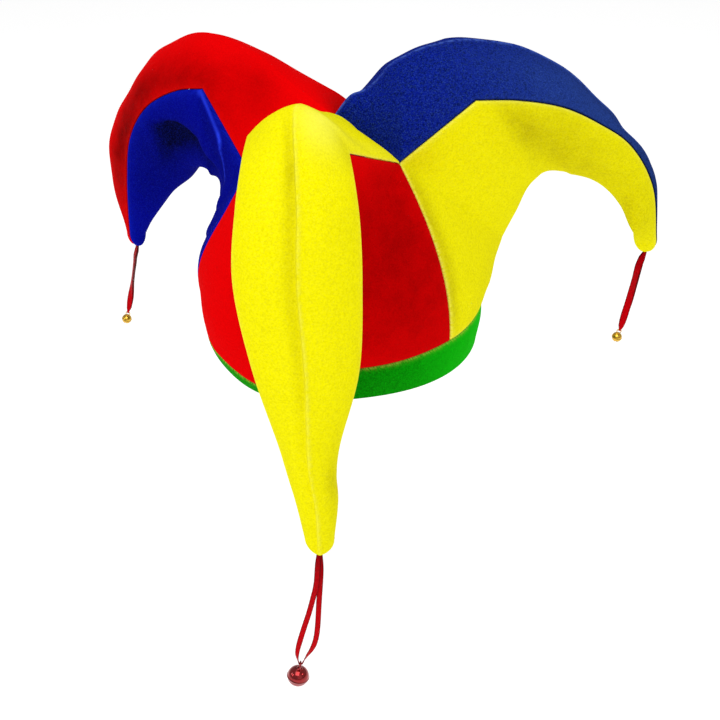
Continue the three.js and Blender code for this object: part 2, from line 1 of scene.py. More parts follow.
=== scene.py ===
"""Jester hat of velour felt: six sewn panels that make a crown with three drooping horns, a band
round the head opening, and a jingle bell on a satin ribbon at the tip of each horn.

Sizes in the tables are millimetres, as in the part's source, and the meshes are metres. +Z is up,
the origin is the middle of the head opening and the front horn points to -Y.
"""

import bpy
import numpy as np
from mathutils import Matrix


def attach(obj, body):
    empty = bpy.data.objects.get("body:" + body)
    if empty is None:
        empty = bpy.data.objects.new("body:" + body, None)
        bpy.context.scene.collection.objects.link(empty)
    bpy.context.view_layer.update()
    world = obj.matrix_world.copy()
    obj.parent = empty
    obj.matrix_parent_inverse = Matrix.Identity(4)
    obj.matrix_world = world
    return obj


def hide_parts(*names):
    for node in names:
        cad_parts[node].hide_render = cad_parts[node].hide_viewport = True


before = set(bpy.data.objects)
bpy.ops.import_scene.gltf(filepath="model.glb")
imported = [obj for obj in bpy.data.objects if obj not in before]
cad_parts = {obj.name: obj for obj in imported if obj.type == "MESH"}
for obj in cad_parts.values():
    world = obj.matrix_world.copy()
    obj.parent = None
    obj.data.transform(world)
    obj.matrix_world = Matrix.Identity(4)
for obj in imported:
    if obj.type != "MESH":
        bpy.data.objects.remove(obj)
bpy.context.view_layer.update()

MM = 0.001
UP = np.array([0.0, 0.0, 1.0])

# Felt walls
FELT = 2.0           # thickness of a panel
SEAM_GAP = 0.3       # clearance between two sewn edges
ROLL = 2.6           # width over which a sewn edge rolls into its seam
ROLL_DEPTH = 1.35    # how far the rolled edge sinks
MITRE = 7.0          # width over which a wall turns to the mitre at its seam
HEM = 0.95           # rounding of a free edge
GAP_REACH = 2.0      # width over which a wall draws back from its seam
WAVE_REACH = 8.0     # width over which the felt's waves die out at a seam

# Grid of a panel
COLUMNS = 96         # from seam to seam
COLUMN_DRAW = 0.75   # how far the columns are drawn to the seams and the centre line
CROWN_ROWS = 40      # from the band or the apex to the valley points
CROWN_DRAW = 1.6     # power that draws those rows to the band or the apex
HORN_ROWS = 22       # from one section of a horn to the next
TIP_ROWS = 14        # past the last section
APEX_START = 0.004   # first station of an upper panel

# Head opening, where its rim sags, and the upper edge of the band: azimuth, height, flare
RIM = {"half_width": 99, "half_depth": 87}
SAG = {"azimuth": 243, "spread": 32, "drop": 12}
BAND_EDGE = np.array([
    (0, 34, 3),
    (90, 32, 2),
    (170, 31, 3),
    (195, 28, 3),
    (225, 21, 11),
    (250, 14, 9),
    (290, 29, 4),
    (330, 32, 3),
], float)
BAND_BELLY = 1.5     # how far the band bellies out
# Painted shading of the band: each row paints shade round an azimuth, and a highlight where its
# last value is negative
BAND_PAINTED_SHADING = [(5, 45, -0.9), (290, 30, 0.3)]  # azimuth, spread, how dark the pile looks
BAND_ROWS = 36       # grid rows up the band
BAND_DRAW = 1.5      # power that draws the lower rows of an under panel to the band's edge

# Crown: its top, and the points between two horns where four panels meet, with the azimuth where
# the seam below starts on the band and how far that seam bellies out
APEX = np.array([-6.0, 0.0, 175.0])
VALLEYS = {
    "front_right": {"azimuth": 329, "radius": 53, "height": 159, "foot": 329, "belly": 0.0},
    "back": {"azimuth": 90, "radius": 58, "height": 149, "foot": 90, "belly": 0.0},
    "front_left": {"azimuth": 204, "radius": 68, "height": 142, "foot": 197, "belly": 3.5},
}
CROWN_BOW = 13       # how far the seams up from the band bow out
VALLEY_DIP = 4       # how far the seams down from the apex dip

# Section of a horn: half the angle of its arc, and how far the ridge is folded to a crease
ARC = {"upper": 62, "under": 72}
CREASE = 0.25

# Tip of a horn: length, turn and how many stations back its axis is taken over
TIP = {"length": 13, "turn": 66, "lead": 0.3}

# Millimetres to a station and from the centre line to a seam on a panel laid flat
FLAT = {"station": 40, "across": 35}
FOLD_END = 0.3       # share of a fold's length over which it runs out at either end

# Horns. Sections hold ridge reach and height, seam reach and height, half width, keel reach and
# height, sway and twist. Folds hold the kind of panel, the station and place across where a fold
# starts and ends, its spread on the clockwise and on the counter-clockwise side, its depth,
# negative where it puffs out, and the painted shade of its groove, negative where it is a painted
# highlight line. A fold without depth is only a painted line. Painted shading holds the kind of
# panel, the station and place across of a spot of painted shade, its spread both ways, and how dark
# it is painted, negative where the spot is a painted highlight. Tuck holds the height of the welt
# on the ridge and the depth beside it.
HORNS = {
    "front": {
        "azimuth": 270,
        "clockwise": "front_left",
        "counter": "front_right",
        "root": {"ridge": (50, 205), "keel": (98, 100), "sway": -6},
        "sections": np.array([
            (84, 223, 75, 190, 35, 97, 160, -14, -3),
            (118, 203, 103, 185, 38, 102, 171, -7.5, -6),
            (138, 176, 118, 163, 41, 109, 158, -4.5, -12),
            (152, 130, 132, 122, 43, 118, 118, -2, -14),
            (162, 68, 143, 62, 36.5, 130, 58, 5, -14),
            (168, 7, 152, 4, 21, 142, 2, 9, -12),
            (170, -14, 155, -16, 17.5, 145, -17, 11.5, -12),
            (171, -34, 157, -35, 15.5, 147, -36, 15, -12),
            (170.5, -66, 160, -66, 11, 151.5, -66, 17.5, -10),
        ], float),
        # last value of a fold: painted shade of its groove, negative for a painted highlight line
        "folds": [
            ("upper", (2.6, -0.25), (6.2, -0.25), 12, 12, 3, 0),
            ("upper", (0.5, 0.65), (1.8, 0.8), 16, 16, 17, 0.12),
            ("upper", (1.6, -0.7), (2.8, -0.7), 13, 13, 4, 0),
        ],
        "tuck": {"welt": 0.9, "depth": 2.8},
        # spots of painted shade, negative for painted highlights
        "painted_shading": [
            ("upper", 3.2, -0.1, 1.1, 0.09, 0.4),
            ("upper", 5.2, -0.1, 1.5, 0.1, 0.22),
            ("upper", 2.1, 0.35, 0.5, 0.3, -0.65),
            ("upper", 1.3, 0.8, 0.6, 0.25, -0.2),
            ("upper", 8.2, 0.75, 1, 0.3, 0.35),
            ("under", 0.7, 0.75, 0.9, 0.6, 0.58),
        ],
    },
    "right": {
        "azimuth": 25,
        "clockwise": "front_right",
        "counter": "back",
        "root": {"ridge": (36, 214), "keel": (124, 62), "sway": 0},
        "sections": np.array([
            (74, 224, 84, 196, 40, 143, 109, 0, -3),
            (118, 217, 115, 190.5, 36, 159, 115, 0, -3),
            (156, 198, 150, 178.5, 31, 178, 110, 0, -4),
            (188, 166, 179, 161, 26, 198, 96, 0, -4),
            (219, 133, 206, 137, 20, 210, 81, 0, -8),
            (239, 92, 227, 95, 14, 215, 63.5, 0, -26),
            (244, 48, 235.5, 47, 9.5, 227.5, 46, 0, -50),
        ], float),
        # last value of a fold: painted shade of its groove, negative for a painted highlight line
        "folds": [
            ("under", (2.2, -0.8), (3.5, -0.4), 14, 14, 8, 0.1),
            ("under", (0.3, -0.15), (3.1, -0.1), 18, 18, 5.5, 0),
            ("upper", (5.8, -0.6), (5.8, 0.6), 13, 13, 4.5, 0),
            ("upper", (0.25, -0.9), (0.2, 0.9), 8, 8, -6, 0),
            ("upper", (0.65, -0.6), (0.55, 0.9), 9, 9, 4, 0),
        ],
        "tuck": {"welt": 0.6, "depth": 0.3},
        # spots of painted shade, negative for painted highlights
        "painted_shading": [
            ("under", 2.7, -0.8, 0.5, 0.2, 0.3),
            ("under", 3.9, -0.6, 1.5, 0.55, 0.42),
            ("under", 0.6, -0.97, 0.6, 0.06, 0.5),
            ("under", 6.6, -0.3, 1.3, 0.7, 0.38),
            ("upper", 4.5, -0.6, 2, 0.7, -0.3),
        ],
    },
    "left": {
        "azimuth": 155,
        "clockwise": "back",
        "counter": "front_left",
        "root": {"ridge": (42, 187), "keel": (106, 62), "sway": 0},
        "sections": np.array([
            (86, 201, 96, 178, 40, 112, 100, 0, 10),
            (124, 204, 123, 170, 36, 128, 97, 0, 5),
            (164, 184, 159, 147, 31, 147, 79, 0, 0),
            (198, 145, 185, 110, 24, 167, 59, 0, 0),
            (226, 96, 197, 70, 18, 183, 36, 0, 0),
            (231, 56, 205, 34, 12, 195, 20, 0, 0),
            (217.5, 9, 209, 11, 8.5, 201, 8, 0, 0),
        ], float),
        # last value of a fold: painted shade of its groove, negative for a painted highlight line
        "folds": [
            ("under", (1.3, 0.45), (4.2, 0.84), 11, 2.5, 18, 0.75),
            ("under", (1.1, 0.6), (2.1, 0.97), 2.5, 10, 10, 0.25),
            ("under", (1.1, 0.66), (1.6, 0.95), 0.9, 0.9, 0, -0.8),
            ("under", (1.4, 0.9), (2.2, 1), 0.9, 0.9, 0, -0.8),
            ("under", (1.5, 0.53), (2.4, 0.63), 0.8, 0.8, 0, -0.6),
            ("under", (0.5, 0.3), (1.85, 0.35), 16, 16, 12, 0),
            ("under", (0.3, 0.8), (1.2, 0.7), 10, 10, -7, 0),
            ("under", (0.6, 0.76), (1.17, 0.68), 10, 10, -17, 0),
            ("under", (1.2, 0.35), (1.5, 0.8), 8, 8, 10, 0),
        ],
        "tuck": {"welt": 0.15, "depth": 0.1},
        # spots of painted shade, negative for painted highlights
        "painted_shading": [
            ("upper", 5.2, 0.8, 2.2, 0.4, 0.85),
            ("upper", 2.2, 0.9, 1, 0.4, 0.4),
            ("upper", 1.4, 0.35, 0.5, 0.25, 0.35),
            ("under", 2.9, 0.6, 1, 0.13, 0.35),
            ("under", 4.6, 0.6, 1.5, 0.4, 0.35),
        ],
    },
}

# Tuck along a ridge: half width of its welt, run of the steep wall beside it, spread of its hollow,
# the stations over which it begins, and the distances from a seam and from the tip over which it
# rises
TUCK = {
    "welt": 1.6,
    "wall": 2.2,
    "hollow": 6.5,
    "start": (1.8, 3),
    "seam": (2, 12),
    "tip": (0, 14),
}
NO_CREST = 20        # distance to a ridge that is given where there is none

# Ribbons: thickness of the loop and of a doubled strip, half the space between doubled layers,
# clearance to a bell's wire, points of a route over which the layers open out to the wire, and
# steps of the turn round it
RIBBON = {
    "loop": 0.8,
    "doubled": 0.6,
    "layers": 0.65,
    "wire_gap": 0.35,
    "opening": 0.7,
    "turn": 17,
}
RIBBON_STEPS = 8     # from one point of a route to the next
FACING = 282         # azimuth that the ribbons face

# Section of a ribbon: points round it, the power that squares its oval, the share of its thickness
# between the selvedges, and the shares of its half width where a selvedge begins and is full
STRIP = {"points": 24, "corner": 0.45, "thin": 0.72, "selvedge": (0.72, 0.9)}

# Routes run down the middle of what hangs: x, y, z, width and the twist away from facing the front.
# The front ribbon is an open loop and the others hang doubled.
FRONT_ROUTE = np.array([
    (17.4, -163.3, -78, 2.4, 0),
    (17.2, -163.6, -82, 3.2, 0),
    (16.9, -163.8, -88, 4, 0),
    (16.5, -164, -95, 4, 0),
    (16, -164.3, -104, 4, 0),
    (14.9, -164.3, -112, 4, 0),
    (13.5, -164.4, -119, 4, 0),
    (12.1, -164.5, -126, 4, 0),
    (10.5, -164.7, -133.5, 4, 0),
    (8.7, -165, -141, 4, 5),
    (6.8, -165.2, -148.5, 4, 10),
    (5, -165.5, -156, 4, 15),
    (3.3, -165.8, -163.5, 4, 8),
    (1.9, -166, -170.5, 3.6, 15),
    (1.2, -166.1, -176.5, 3, 32),
    (1.5, -166.1, -181, 2.4, 62),
    (2.2, -166.1, -184, 1.6, 90),
    (2.6, -166, -185.1, 1.6, 90),
    (3.7, -165.8, -185.5, 1.6, 90),
    (4.8, -165.6, -185.1, 1.6, 90),
    (5.3, -165.5, -184, 1.6, 90),
    (7.1, -165.2, -180, 2.6, 56),
    (9.3, -164.7, -175.5, 3.2, 30),
    (11.4, -164.2, -171.5, 3.6, 16),
    (13.3, -163.8, -166.5, 4, 8),
    (14.6, -163.5, -161, 4, 5),
    (15.5, -163.3, -155, 4, 0),
    (16.1, -163.2, -148, 4, 0),
    (16.5, -163, -141, 4, 0),
    (16.8, -162.8, -133.5, 4, 0),
    (17.1, -162.6, -126, 4, 0),
    (17.5, -162.4, -118.5, 4, 0),
    (17.9, -162.3, -111, 4, 0),
    (18.3, -162.3, -104, 4, 0),
    (18.6, -162.1, -95, 4, 0),
    (18.5, -162.1, -88, 4, 0),
    (18.5, -162.2, -82, 3.2, 0),
    (18.4, -162.1, -78, 2.4, 0),
], float)
LEFT_ROUTE = np.array([
    (-189.2, 88.2, 1, 1.4, 40),
    (-189.4, 88.2, -4, 2, 50),
    (-190.4, 88.2, -9, 4.2, 60),
    (-191.7, 88, -14, 5, 66),
    (-192.3, 87.6, -19, 5, 70),
    (-193.1, 87.3, -24, 5, 74),
    (-193.9, 87, -29, 5, 76),
    (-194.7, 86.8, -34, 5, 76),
    (-195.5, 86.6, -39, 5, 72),
    (-196.3, 86.4, -44, 5, 60),
    (-197.2, 86.2, -49, 5, 44),
    (-198.1, 86, -54, 5, 28),
    (-199.1, 85.8, -59, 4.6, 16),
    (-200, 85.6, -64, 3.8, 10),
    (-201, 85.4, -68.2, 1.3, 10),
], float)
RIGHT_ROUTE = np.array([
    (214.7, 101.3, 38.5, 1.8, -10),
    (214.3, 101.1, 34, 2.4, -6),
    (212.5, 100, 28.5, 5, 8),
    (211.1, 98.9, 23, 5.6, 24),
    (210.4, 98.4, 18, 5.6, 38),
    (209.8, 98.3, 13, 5.6, 46),
    (209.2, 98.2, 8, 5.6, 48),
    (208.5, 98, 3, 5.6, 46),
    (207.8, 97.9, -2, 5.6, 40),
    (207, 97.7, -7.5, 5.6, 32),
    (206.1, 97.5, -13, 5.6, 22),
    (205.1, 97.3, -18.5, 5.6, 14),
    (204.2, 97.1, -24, 5.6, 8),
    (203.4, 96.9, -29, 5.2, 4),
    (202.6, 96.7, -33.5, 4, 0),
    (201.9, 96.5, -36.7, 1.3, 0),
], float)

# Jingle bells: shell radius and wall, slot width, radius of the round holes at its ends, wire ring
FRONT_BELL = {"radius": 8, "wall": 0.8, "slot": 1.8, "hole": 1.7, "ring": 3, "wire": 0.6}
SIDE_BELL = {"radius": 4, "wall": 0.6, "slot": 1, "hole": 0.95, "ring": 1.7, "wire": 0.35}
RING_SINK = 0.15     # share of the ring's radius that is sunk in the bell
FRONT_HANG = np.array([-0.15, -0.03, -1.0])  # way down to the foot of the front bell

# Shares of a bell's radius: where its holes lie, height and spread of its rolled seam, foot and
# height of its shank cap. The cap's width and the flat at its top are shares of the ring's radius.
BELL = {"hole": 0.68, "seam": 0.05, "spread": 0.075, "foot": 0.93, "cap": 0.15}
CAP = {"width": 0.75, "flat": 0.01}

# Grid of a bell: latitudes, turns about the slot's axis, and the last latitude in degrees
BELL_GRID = {"rows": 121, "columns": 129, "pole": 89.5}
SLOT_LIMIT = 0.95    # largest sine of the turn to a lip of the slot

# Camera: where it stands, the focal length in pixels of a square picture, and the origin's pixel
PICTURE = 720
CAMERA = {"azimuth": 12, "elevation": 34, "distance": 1250, "focal": 1671, "origin": (343, 328)}
FLOOR = {"height": -420, "half_width": 8000}

# Soft lights: width and height in metres, watts, azimuth, elevation and distance in metres
LIGHTS = {
    "key": (1.6, 1.6, 22, 268, 58, 2.0),
    "fill": (1.8, 1.8, 3, 300, 20, 2.2),
    "back": (1.8, 1.8, 9, 80, 70, 2.2),
    "left strip": (0.12, 0.5, 1.8, 198, 15, 1.9),
    "front strip": (0.12, 0.5, 2, 219, 20, 1.9),
    "right lamp": (0.25, 0.25, 2, 345, 28, 1.9),
}
LIGHT_HEIGHT = 0.1   # height in metres of the hat's middle, which the lights face


# Numbers and lines

def unit(vectors):
    """Vectors divided by their lengths."""
    return vectors / np.maximum(np.linalg.norm(vectors, axis=-1, keepdims=True), 1e-9)


def polar(radius, azimuth, height):
    """Point at a radius and azimuth in degrees round the hat's axis, at a height."""
    turn = np.radians(azimuth)
    return np.stack(np.broadcast_arrays(radius * np.cos(turn), radius * np.sin(turn), height), -1)


def heading(azimuth):
    """Level unit vector at an azimuth in degrees."""
    return polar(1.0, azimuth, 0.0)


def angle_from(start, azimuth):
    """Angle from one azimuth to another, between -180 and 180 degrees."""
    return (azimuth - start + 180) % 360 - 180


def smoothstep(low, high, value):
    """Ease from 0 at low to 1 at high: 3 t^2 - 2 t^3 of the share t between them."""
    share = np.clip((value - low) / (high - low), 0, 1)
    return share * share * (3 - 2 * share)


def bell_curve(value, width):
    """Hump that is 1 at zero and falls off as the exponential of minus its square over width."""
    return np.exp(-((value / width) ** 2))


def catmull(points, station):
    """Centripetal Catmull-Rom line through points, read at fractional point numbers."""
    padded = np.vstack([2 * points[0] - points[1], points, 2 * points[-1] - points[-2]])
    station = np.clip(station, 0, len(points) - 1)
    first = np.minimum(station.astype(int), len(points) - 2)
    share = (station - first)[:, None]
    a, b, c, d = (padded[first + k] for k in range(4))
    lengths = (np.linalg.norm(q - p, axis=1, keepdims=True) for p, q in ((a, b), (b, c), (c, d)))
    ab, bc, cd = (np.maximum(length**0.5, 1e-4) for length in lengths)
    out = ((b - a) / ab - (c - a) / (ab + bc) + (c - b) / bc) * bc
    into = ((c - b) / bc - (d - b) / (bc + cd) + (d - c) / cd) * bc
    return (b + out * share + (3 * (c - b) - 2 * out - into) * share**2
            + (2 * (b - c) + out + into) * share**3)


def turned(vectors, axis, degrees):
    """Vectors turned about unit axes by angles in degrees."""
    turn = np.radians(np.asarray(degrees, float))[..., None]
    along = np.sum(axis * vectors, -1, keepdims=True)
    return (vectors * np.cos(turn) + np.cross(axis, vectors) * np.sin(turn)
            + axis * along * (1 - np.cos(turn)))


def bowed(start, end, direction, bow, share):
    """Straight line from start to end that bows out along a direction as a parabola."""
    share = share[:, None]
    return start + (end - start) * share + direction * (4 * bow * share * (1 - share))


# Crown and band lines

def rim_point(azimuth):
    """Oval of the head opening, lower by a bell curve of the azimuth where it sags."""
    oval = heading(azimuth) * (RIM["half_width"], RIM["half_depth"], 0)
    sag = bell_curve(angle_from(SAG["azimuth"], azimuth), SAG["spread"])
    return oval - UP * (SAG["drop"] * sag)[..., None]


def band_edge(azimuth):
    """Upper edge of the band: the rim moved out by the flare and up by the height, both eased from
    row to row of the table round the head."""
    azimuth = np.mod(azimuth, 360)
    rows = np.vstack([BAND_EDGE, BAND_EDGE[0] + (360, 0, 0)])
    row = np.searchsorted(rows[:, 0], azimuth, side="right") - 1
    before, after = rows[row], rows[row + 1]
    ease = smoothstep(before[..., 0], after[..., 0], azimuth)[..., None]
    height, flare = np.moveaxis(before[..., 1:] * (1 - ease) + after[..., 1:] * ease, -1, 0)
    foot = rim_point(azimuth)
    return foot + unit(foot * (1, 1, 0)) * flare[..., None] + UP * height[..., None]


def valley_point(valley):
    return polar(valley["radius"], valley["azimuth"], float(valley["height"]))


def crown_seam(valley, share):
    """Seam from the band up to a valley point, between the under panels of two horns. It bows out,
    and its belly moves it out below and in above by one wave of a sine."""
    foot = band_edge(np.array(valley["foot"], float))
    outwards = heading(valley["azimuth"])
    line = bowed(foot, valley_point(valley), outwards, CROWN_BOW, share)
    return line + outwards * (valley["belly"] * np.sin(2 * np.pi * share))[:, None]


def valley_seam(valley, share):
    """Seam from the apex down to a valley point, between the upper panels of two horns."""
    return bowed(APEX, valley_point(valley), UP, -VALLEY_DIP, share)


# Horn panels

class Horn:
    """Lines that carry a horn's two panels. A station is 0 at the apex or the band, 1 at the valley
    points, 2 at the first section and so on, up to the last section."""

    def __init__(self, table):
        self.table = table
        self.out = heading(table["azimuth"])
        self.side = np.cross(UP, self.out)
        (ridge_reach, ridge_height, seam_reach, seam_height, half_width, keel_reach, keel_height,
         sway, twist) = table["sections"].T
        ridge = self.place(ridge_reach, ridge_height, sway)
        middle = self.place(seam_reach, seam_height, sway)
        keel = self.place(keel_reach, keel_height, sway)
        wide = self.side * half_width[:, None]
        axis = unit(np.cross(self.side, ridge - keel))

        def spin(points):
            return middle + turned(points - middle, axis, twist)

        root = table["root"]
        ridge_root = self.place(*root["ridge"], root["sway"])
        keel_root = self.place(*root["keel"], root["sway"])
        self.start = VALLEYS[table["clockwise"]]["foot"]
        self.sweep = (VALLEYS[table["counter"]]["foot"] - self.start) % 360
        foot = band_edge(np.array(self.start + self.sweep / 2.0))
        self.last = len(middle) + 1
        self.edges = {"clockwise": spin(middle - wide), "counter": spin(middle + wide)}
        self.centres = {
            "upper": np.vstack([APEX, ridge_root, spin(ridge)]),
            "under": np.vstack([foot, keel_root, spin(keel)]),
        }

    def place(self, reach, height, sway):
        """Point at a reach from the hat's axis, a height and a counter-clockwise sway."""
        sizes = (np.asarray(size, float)[..., None] for size in (reach, height, sway))
        return sum(size * line for size, line in zip(sizes, (self.out, UP, self.side)))

    def seam(self, kind, edge, station):
        """A seam: crown or valley seam up to 1, straight up to 2, then a smooth line."""
        valley = VALLEYS[self.table[edge]]
        points = self.edges[edge]
        low = (valley_seam if kind == "upper" else crown_seam)(valley, np.clip(station, 0, 1))
        share = np.clip(station - 1, 0, 1)[:, None]
        middle = valley_point(valley) * (1 - share) + points[0] * share
        high = catmull(points, station - 2)
        return np.where(station[:, None] <= 1, low, np.where(station[:, None] <= 2, middle, high))

    def tip_middle(self, station):
        """Mean of the two seams, the ridge and the keel at a station."""
        at = np.array([station], float)
        lines = [self.seam("upper", edge, at) for edge in self.edges]
        lines += [catmull(points, at) for points in self.centres.values()]
        return np.mean(lines, axis=0)[0]

    def folds(self, kind, station, across):
        """Sums over the folds of a panel: how far they push it in, and the shade painted in their
        grooves, negative where a fold paints a highlight line. Each fold is a groove along a line
        on the panel laid
        flat: its depth and its painted shade times a bell curve of the distance to that line, which
        runs out at the line's ends. Depth also runs out at the seams."""
        flat = (FLAT["station"], FLAT["across"])
        point = np.stack(np.broadcast_arrays(station, across), -1) * flat
        push, dark = np.zeros((2, *point.shape[:-1]))
        for panel, start, end, clockwise, counter, depth, shade in self.table["folds"]:
            if panel == kind:
                start, end = np.array([start, end]) * flat
                along = end - start
                share = np.clip((point - start) @ along / (along @ along), 0, 1)
                away = point - start - share[..., None] * along
                counter_side = along[0] * away[..., 1] - along[1] * away[..., 0] > 0
                spread = np.where(counter_side, counter, clockwise)
                run_out = smoothstep(0, FOLD_END, share) * smoothstep(1, 1 - FOLD_END, share)
                groove = np.sqrt(run_out) * bell_curve(np.linalg.norm(away, axis=-1), spread)
                push += depth * groove
                # painted shade of the groove; a negative shade paints a highlight line
                dark += shade * groove
        return push * (1 - across**2), dark

    def panel(self, kind, station, across):
        """Outer surface of a panel. A row is an arc of a circle stretched to pass through both
        seams and the centre line, creased a little at the ridge, and folds push it in. The lower
        rows of an under panel are drawn to the band's edge, and the rows past the last section
        shrink towards its middle while they move on along a quarter ellipse."""
        body = np.minimum(station, self.last)
        start, end = (self.seam(kind, edge, body) for edge in ("clockwise", "counter"))
        centre = catmull(self.centres[kind], body)
        middle = (start + end) / 2
        blend = np.clip((body - 1) / 2, 0, 1)[:, None]
        arc = np.radians(ARC["upper"] if kind == "upper"
                         else self.sweep / 2 * (1 - blend) + ARC["under"] * blend)
        row, column = body[:, None], across[None, :]
        along = np.sin(arc * column) / np.sin(arc)
        height = (np.cos(arc * column) - np.cos(arc)) / (1 - np.cos(arc))
        if kind == "upper":
            height = height * (1 - CREASE) + (1 - np.abs(column)) * CREASE
        rise = centre - middle
        push = self.folds(kind, row, column)[0]
        points = (middle[:, None] + ((end - start) / 2)[:, None] * along[..., None]
                  + rise[:, None] * height[..., None] - unit(rise)[:, None] * push[..., None])
        if kind == "under":
            azimuth = self.start + self.sweep * (across + 1) / 2
            pull = np.clip(1 - body, 0, 1)[:, None, None] ** BAND_DRAW
            points = points + pull * (band_edge(azimuth) - points[0])
        heart = self.tip_middle(self.last)
        axis = unit(heart - self.tip_middle(self.last - TIP["lead"]))
        turn = np.radians(TIP["turn"]) * np.clip(station - self.last, 0, 1)[:, None, None]
        tip = heart + (points - heart) * np.cos(turn) + axis * (TIP["length"] * np.sin(turn))
        return np.where((station > self.last)[:, None, None], tip, points)


# Felt walls

def running_length(grid, axis):
    """Length along the grid lines of one axis, from the first point on."""
    steps = np.linalg.norm(np.diff(grid, axis=axis), axis=-1)
    start = np.zeros_like(np.take(steps, [0], axis=axis))
    return np.concatenate([start, np.cumsum(steps, axis=axis)], axis=axis)


def grid_normals(grid, outward):
    """Unit normals of a grid: cross product of its differences along both axes."""
    return unit(np.cross(np.gradient(grid, axis=0), np.gradient(grid, axis=1)) * outward)


def rolled(distance, depth):
    """Sink of an edge that rolls over as a quarter ellipse: depth at the edge, nothing at ROLL."""
    share = 1 - np.clip(distance / ROLL, 0, 1)
    return depth * (1 - np.sqrt(np.maximum(1 - share**2, 0)))


def mitre_share(distance):
    """How far a wall has turned to the mitre at a distance from its seam."""
    return smoothstep(MITRE, 0, distance)[..., None]


def draw_back(distance):
    """How far a wall draws back from its seam, for half of the clearance there."""
    return (SEAM_GAP / 2 * smoothstep(GAP_REACH, 0, distance))[..., None]


def tube_index(shape, first=0):
    """Point numbers of a grid that closes round its columns: the first column comes last again."""
    index = first + np.arange(shape[0] * shape[1]).reshape(shape[:2])
    return np.hstack([index, index[:, :1]])


def grid_faces(index):
    """Quads between the rows and columns of a grid of point numbers. A transposed grid faces the
    other way."""
    corners = [index[:-1, :-1], index[:-1, 1:], index[1:, 1:], index[1:, :-1]]
    return np.stack(corners, -1).reshape(-1, 4)


def wall_faces(shape, ring):
    """Quads of a closed wall: outer skin, inner skin and the rims between them. A ring has no side
    rims, because its last column is its first."""
    index = tube_index(shape)
    if not ring:
        index = index[:, :-1]
    inner = index + shape[0] * shape[1]
    skins = [index.T, inner, np.stack([index[0], inner[0]]), np.stack([inner[-1], index[-1]])]
    if not ring:
        skins.append(np.stack([inner[:, 0], index[:, 0]]))
        skins.append(np.stack([index[:, -1], inner[:, -1]]))
    return np.vstack([grid_faces(skin) for skin in skins])


def welded(points, faces):
    """Which points stay where several fall together, as at the crown's top, and the faces on them:
    the quads, and a triangle for each quad that has lost one side."""
    _, kept, same = np.unique(points.round(6), axis=0, return_index=True, return_inverse=True)
    corners = same.ravel()[faces]
    lost = corners == np.roll(corners, -1, axis=1)
    sides = 4 - lost.sum(1)
    triangles = corners[sides == 3][~lost[sides == 3]].reshape(-1, 3)
    return kept, corners[sides == 4].tolist() + triangles.tolist()


def felt_wall(name, outer, inner, outward, values, ring=False):
    """Mesh of a felt wall between an outer and an inner grid, with its values as attributes."""
    faces = wall_faces(outer.shape, ring)
    if outward < 0:
        faces = faces[:, ::-1]
    points = np.concatenate([outer.reshape(-1, 3), inner.reshape(-1, 3)])
    kept, faces = welded(points, faces)
    values = {key: np.tile(value.ravel(), 2)[kept] for key, value in values.items()}
    return mesh_piece(name, points[kept], faces, values)


def mesh_piece(name, points, faces, values, ends=()):
    """Object with a smooth mesh at its place, from points in millimetres, with many-sided flat
    faces that close its ends and float attributes on its points."""
    mesh = bpy.data.meshes.new(name)
    mesh.from_pydata((points * MM).tolist(), [], faces + [end.tolist() for end in ends])
    mesh.polygons.foreach_set("use_smooth", np.arange(len(mesh.polygons)) < len(faces))
    for key, value in values.items():
        attribute = mesh.attributes.new(key, "FLOAT", "POINT")
        attribute.data.foreach_set("value", np.ravel(value).astype(np.float32))
    mesh.validate()
    piece = bpy.data.objects.new(name, mesh)
    bpy.context.scene.collection.objects.link(piece)
    return piece


def undulation(points):
    """Gentle waves of handled felt: crossed sines of the place, tenths of a millimetre high."""
    x, y, z = np.moveaxis(points, -1, 0)
    return (0.35 * np.sin(x / 9.0 + np.sin(z / 17.0)) * np.sin(z / 12.0 + 0.7)
            + 0.3 * np.sin(y / 11.0 - z / 14.0) + 0.2 * np.sin((x + y + z) / 6.5))


def painted_shading_spots(spots, kind, station, across):
    """Painted shading: the sum of soft oval spots, positive where they paint shade, negative where
    they paint highlights.
    """
    tone = np.zeros(np.broadcast_shapes(station.shape, across.shape))
    for panel, at, beside, length, width, strength in spots:
        if panel == kind:
            tone += strength * bell_curve(station - at, length) * bell_curve(across - beside, width)
    return tone


def tuck_lift(away, welt, depth):
    """Profile across a ridge that is pressed into a tuck: a narrow welt on the line, and on its
    clockwise side a steep wall down into a hollow that runs out softly."""
    wall = smoothstep(0, TUCK["wall"], -away)
    hollow = wall * bell_curve(np.minimum(away + TUCK["wall"], 0), TUCK["hollow"])
    return welt * bell_curve(away, TUCK["welt"]) - depth * hollow


def panel_stations():
    """Share of each grid row between two stations: close rows at the band and apex, then even."""
    crown = np.linspace(0, 1, CROWN_ROWS, endpoint=False) ** CROWN_DRAW
    return crown, np.linspace(0, 1, HORN_ROWS, endpoint=False)


def columns_across():
    """Places across a panel, closer together at the seams and at the centre line."""
    even = np.linspace(-1, 1, COLUMNS + 1)
    return even - COLUMN_DRAW * np.sin(2 * np.pi * even) / (2 * np.pi)


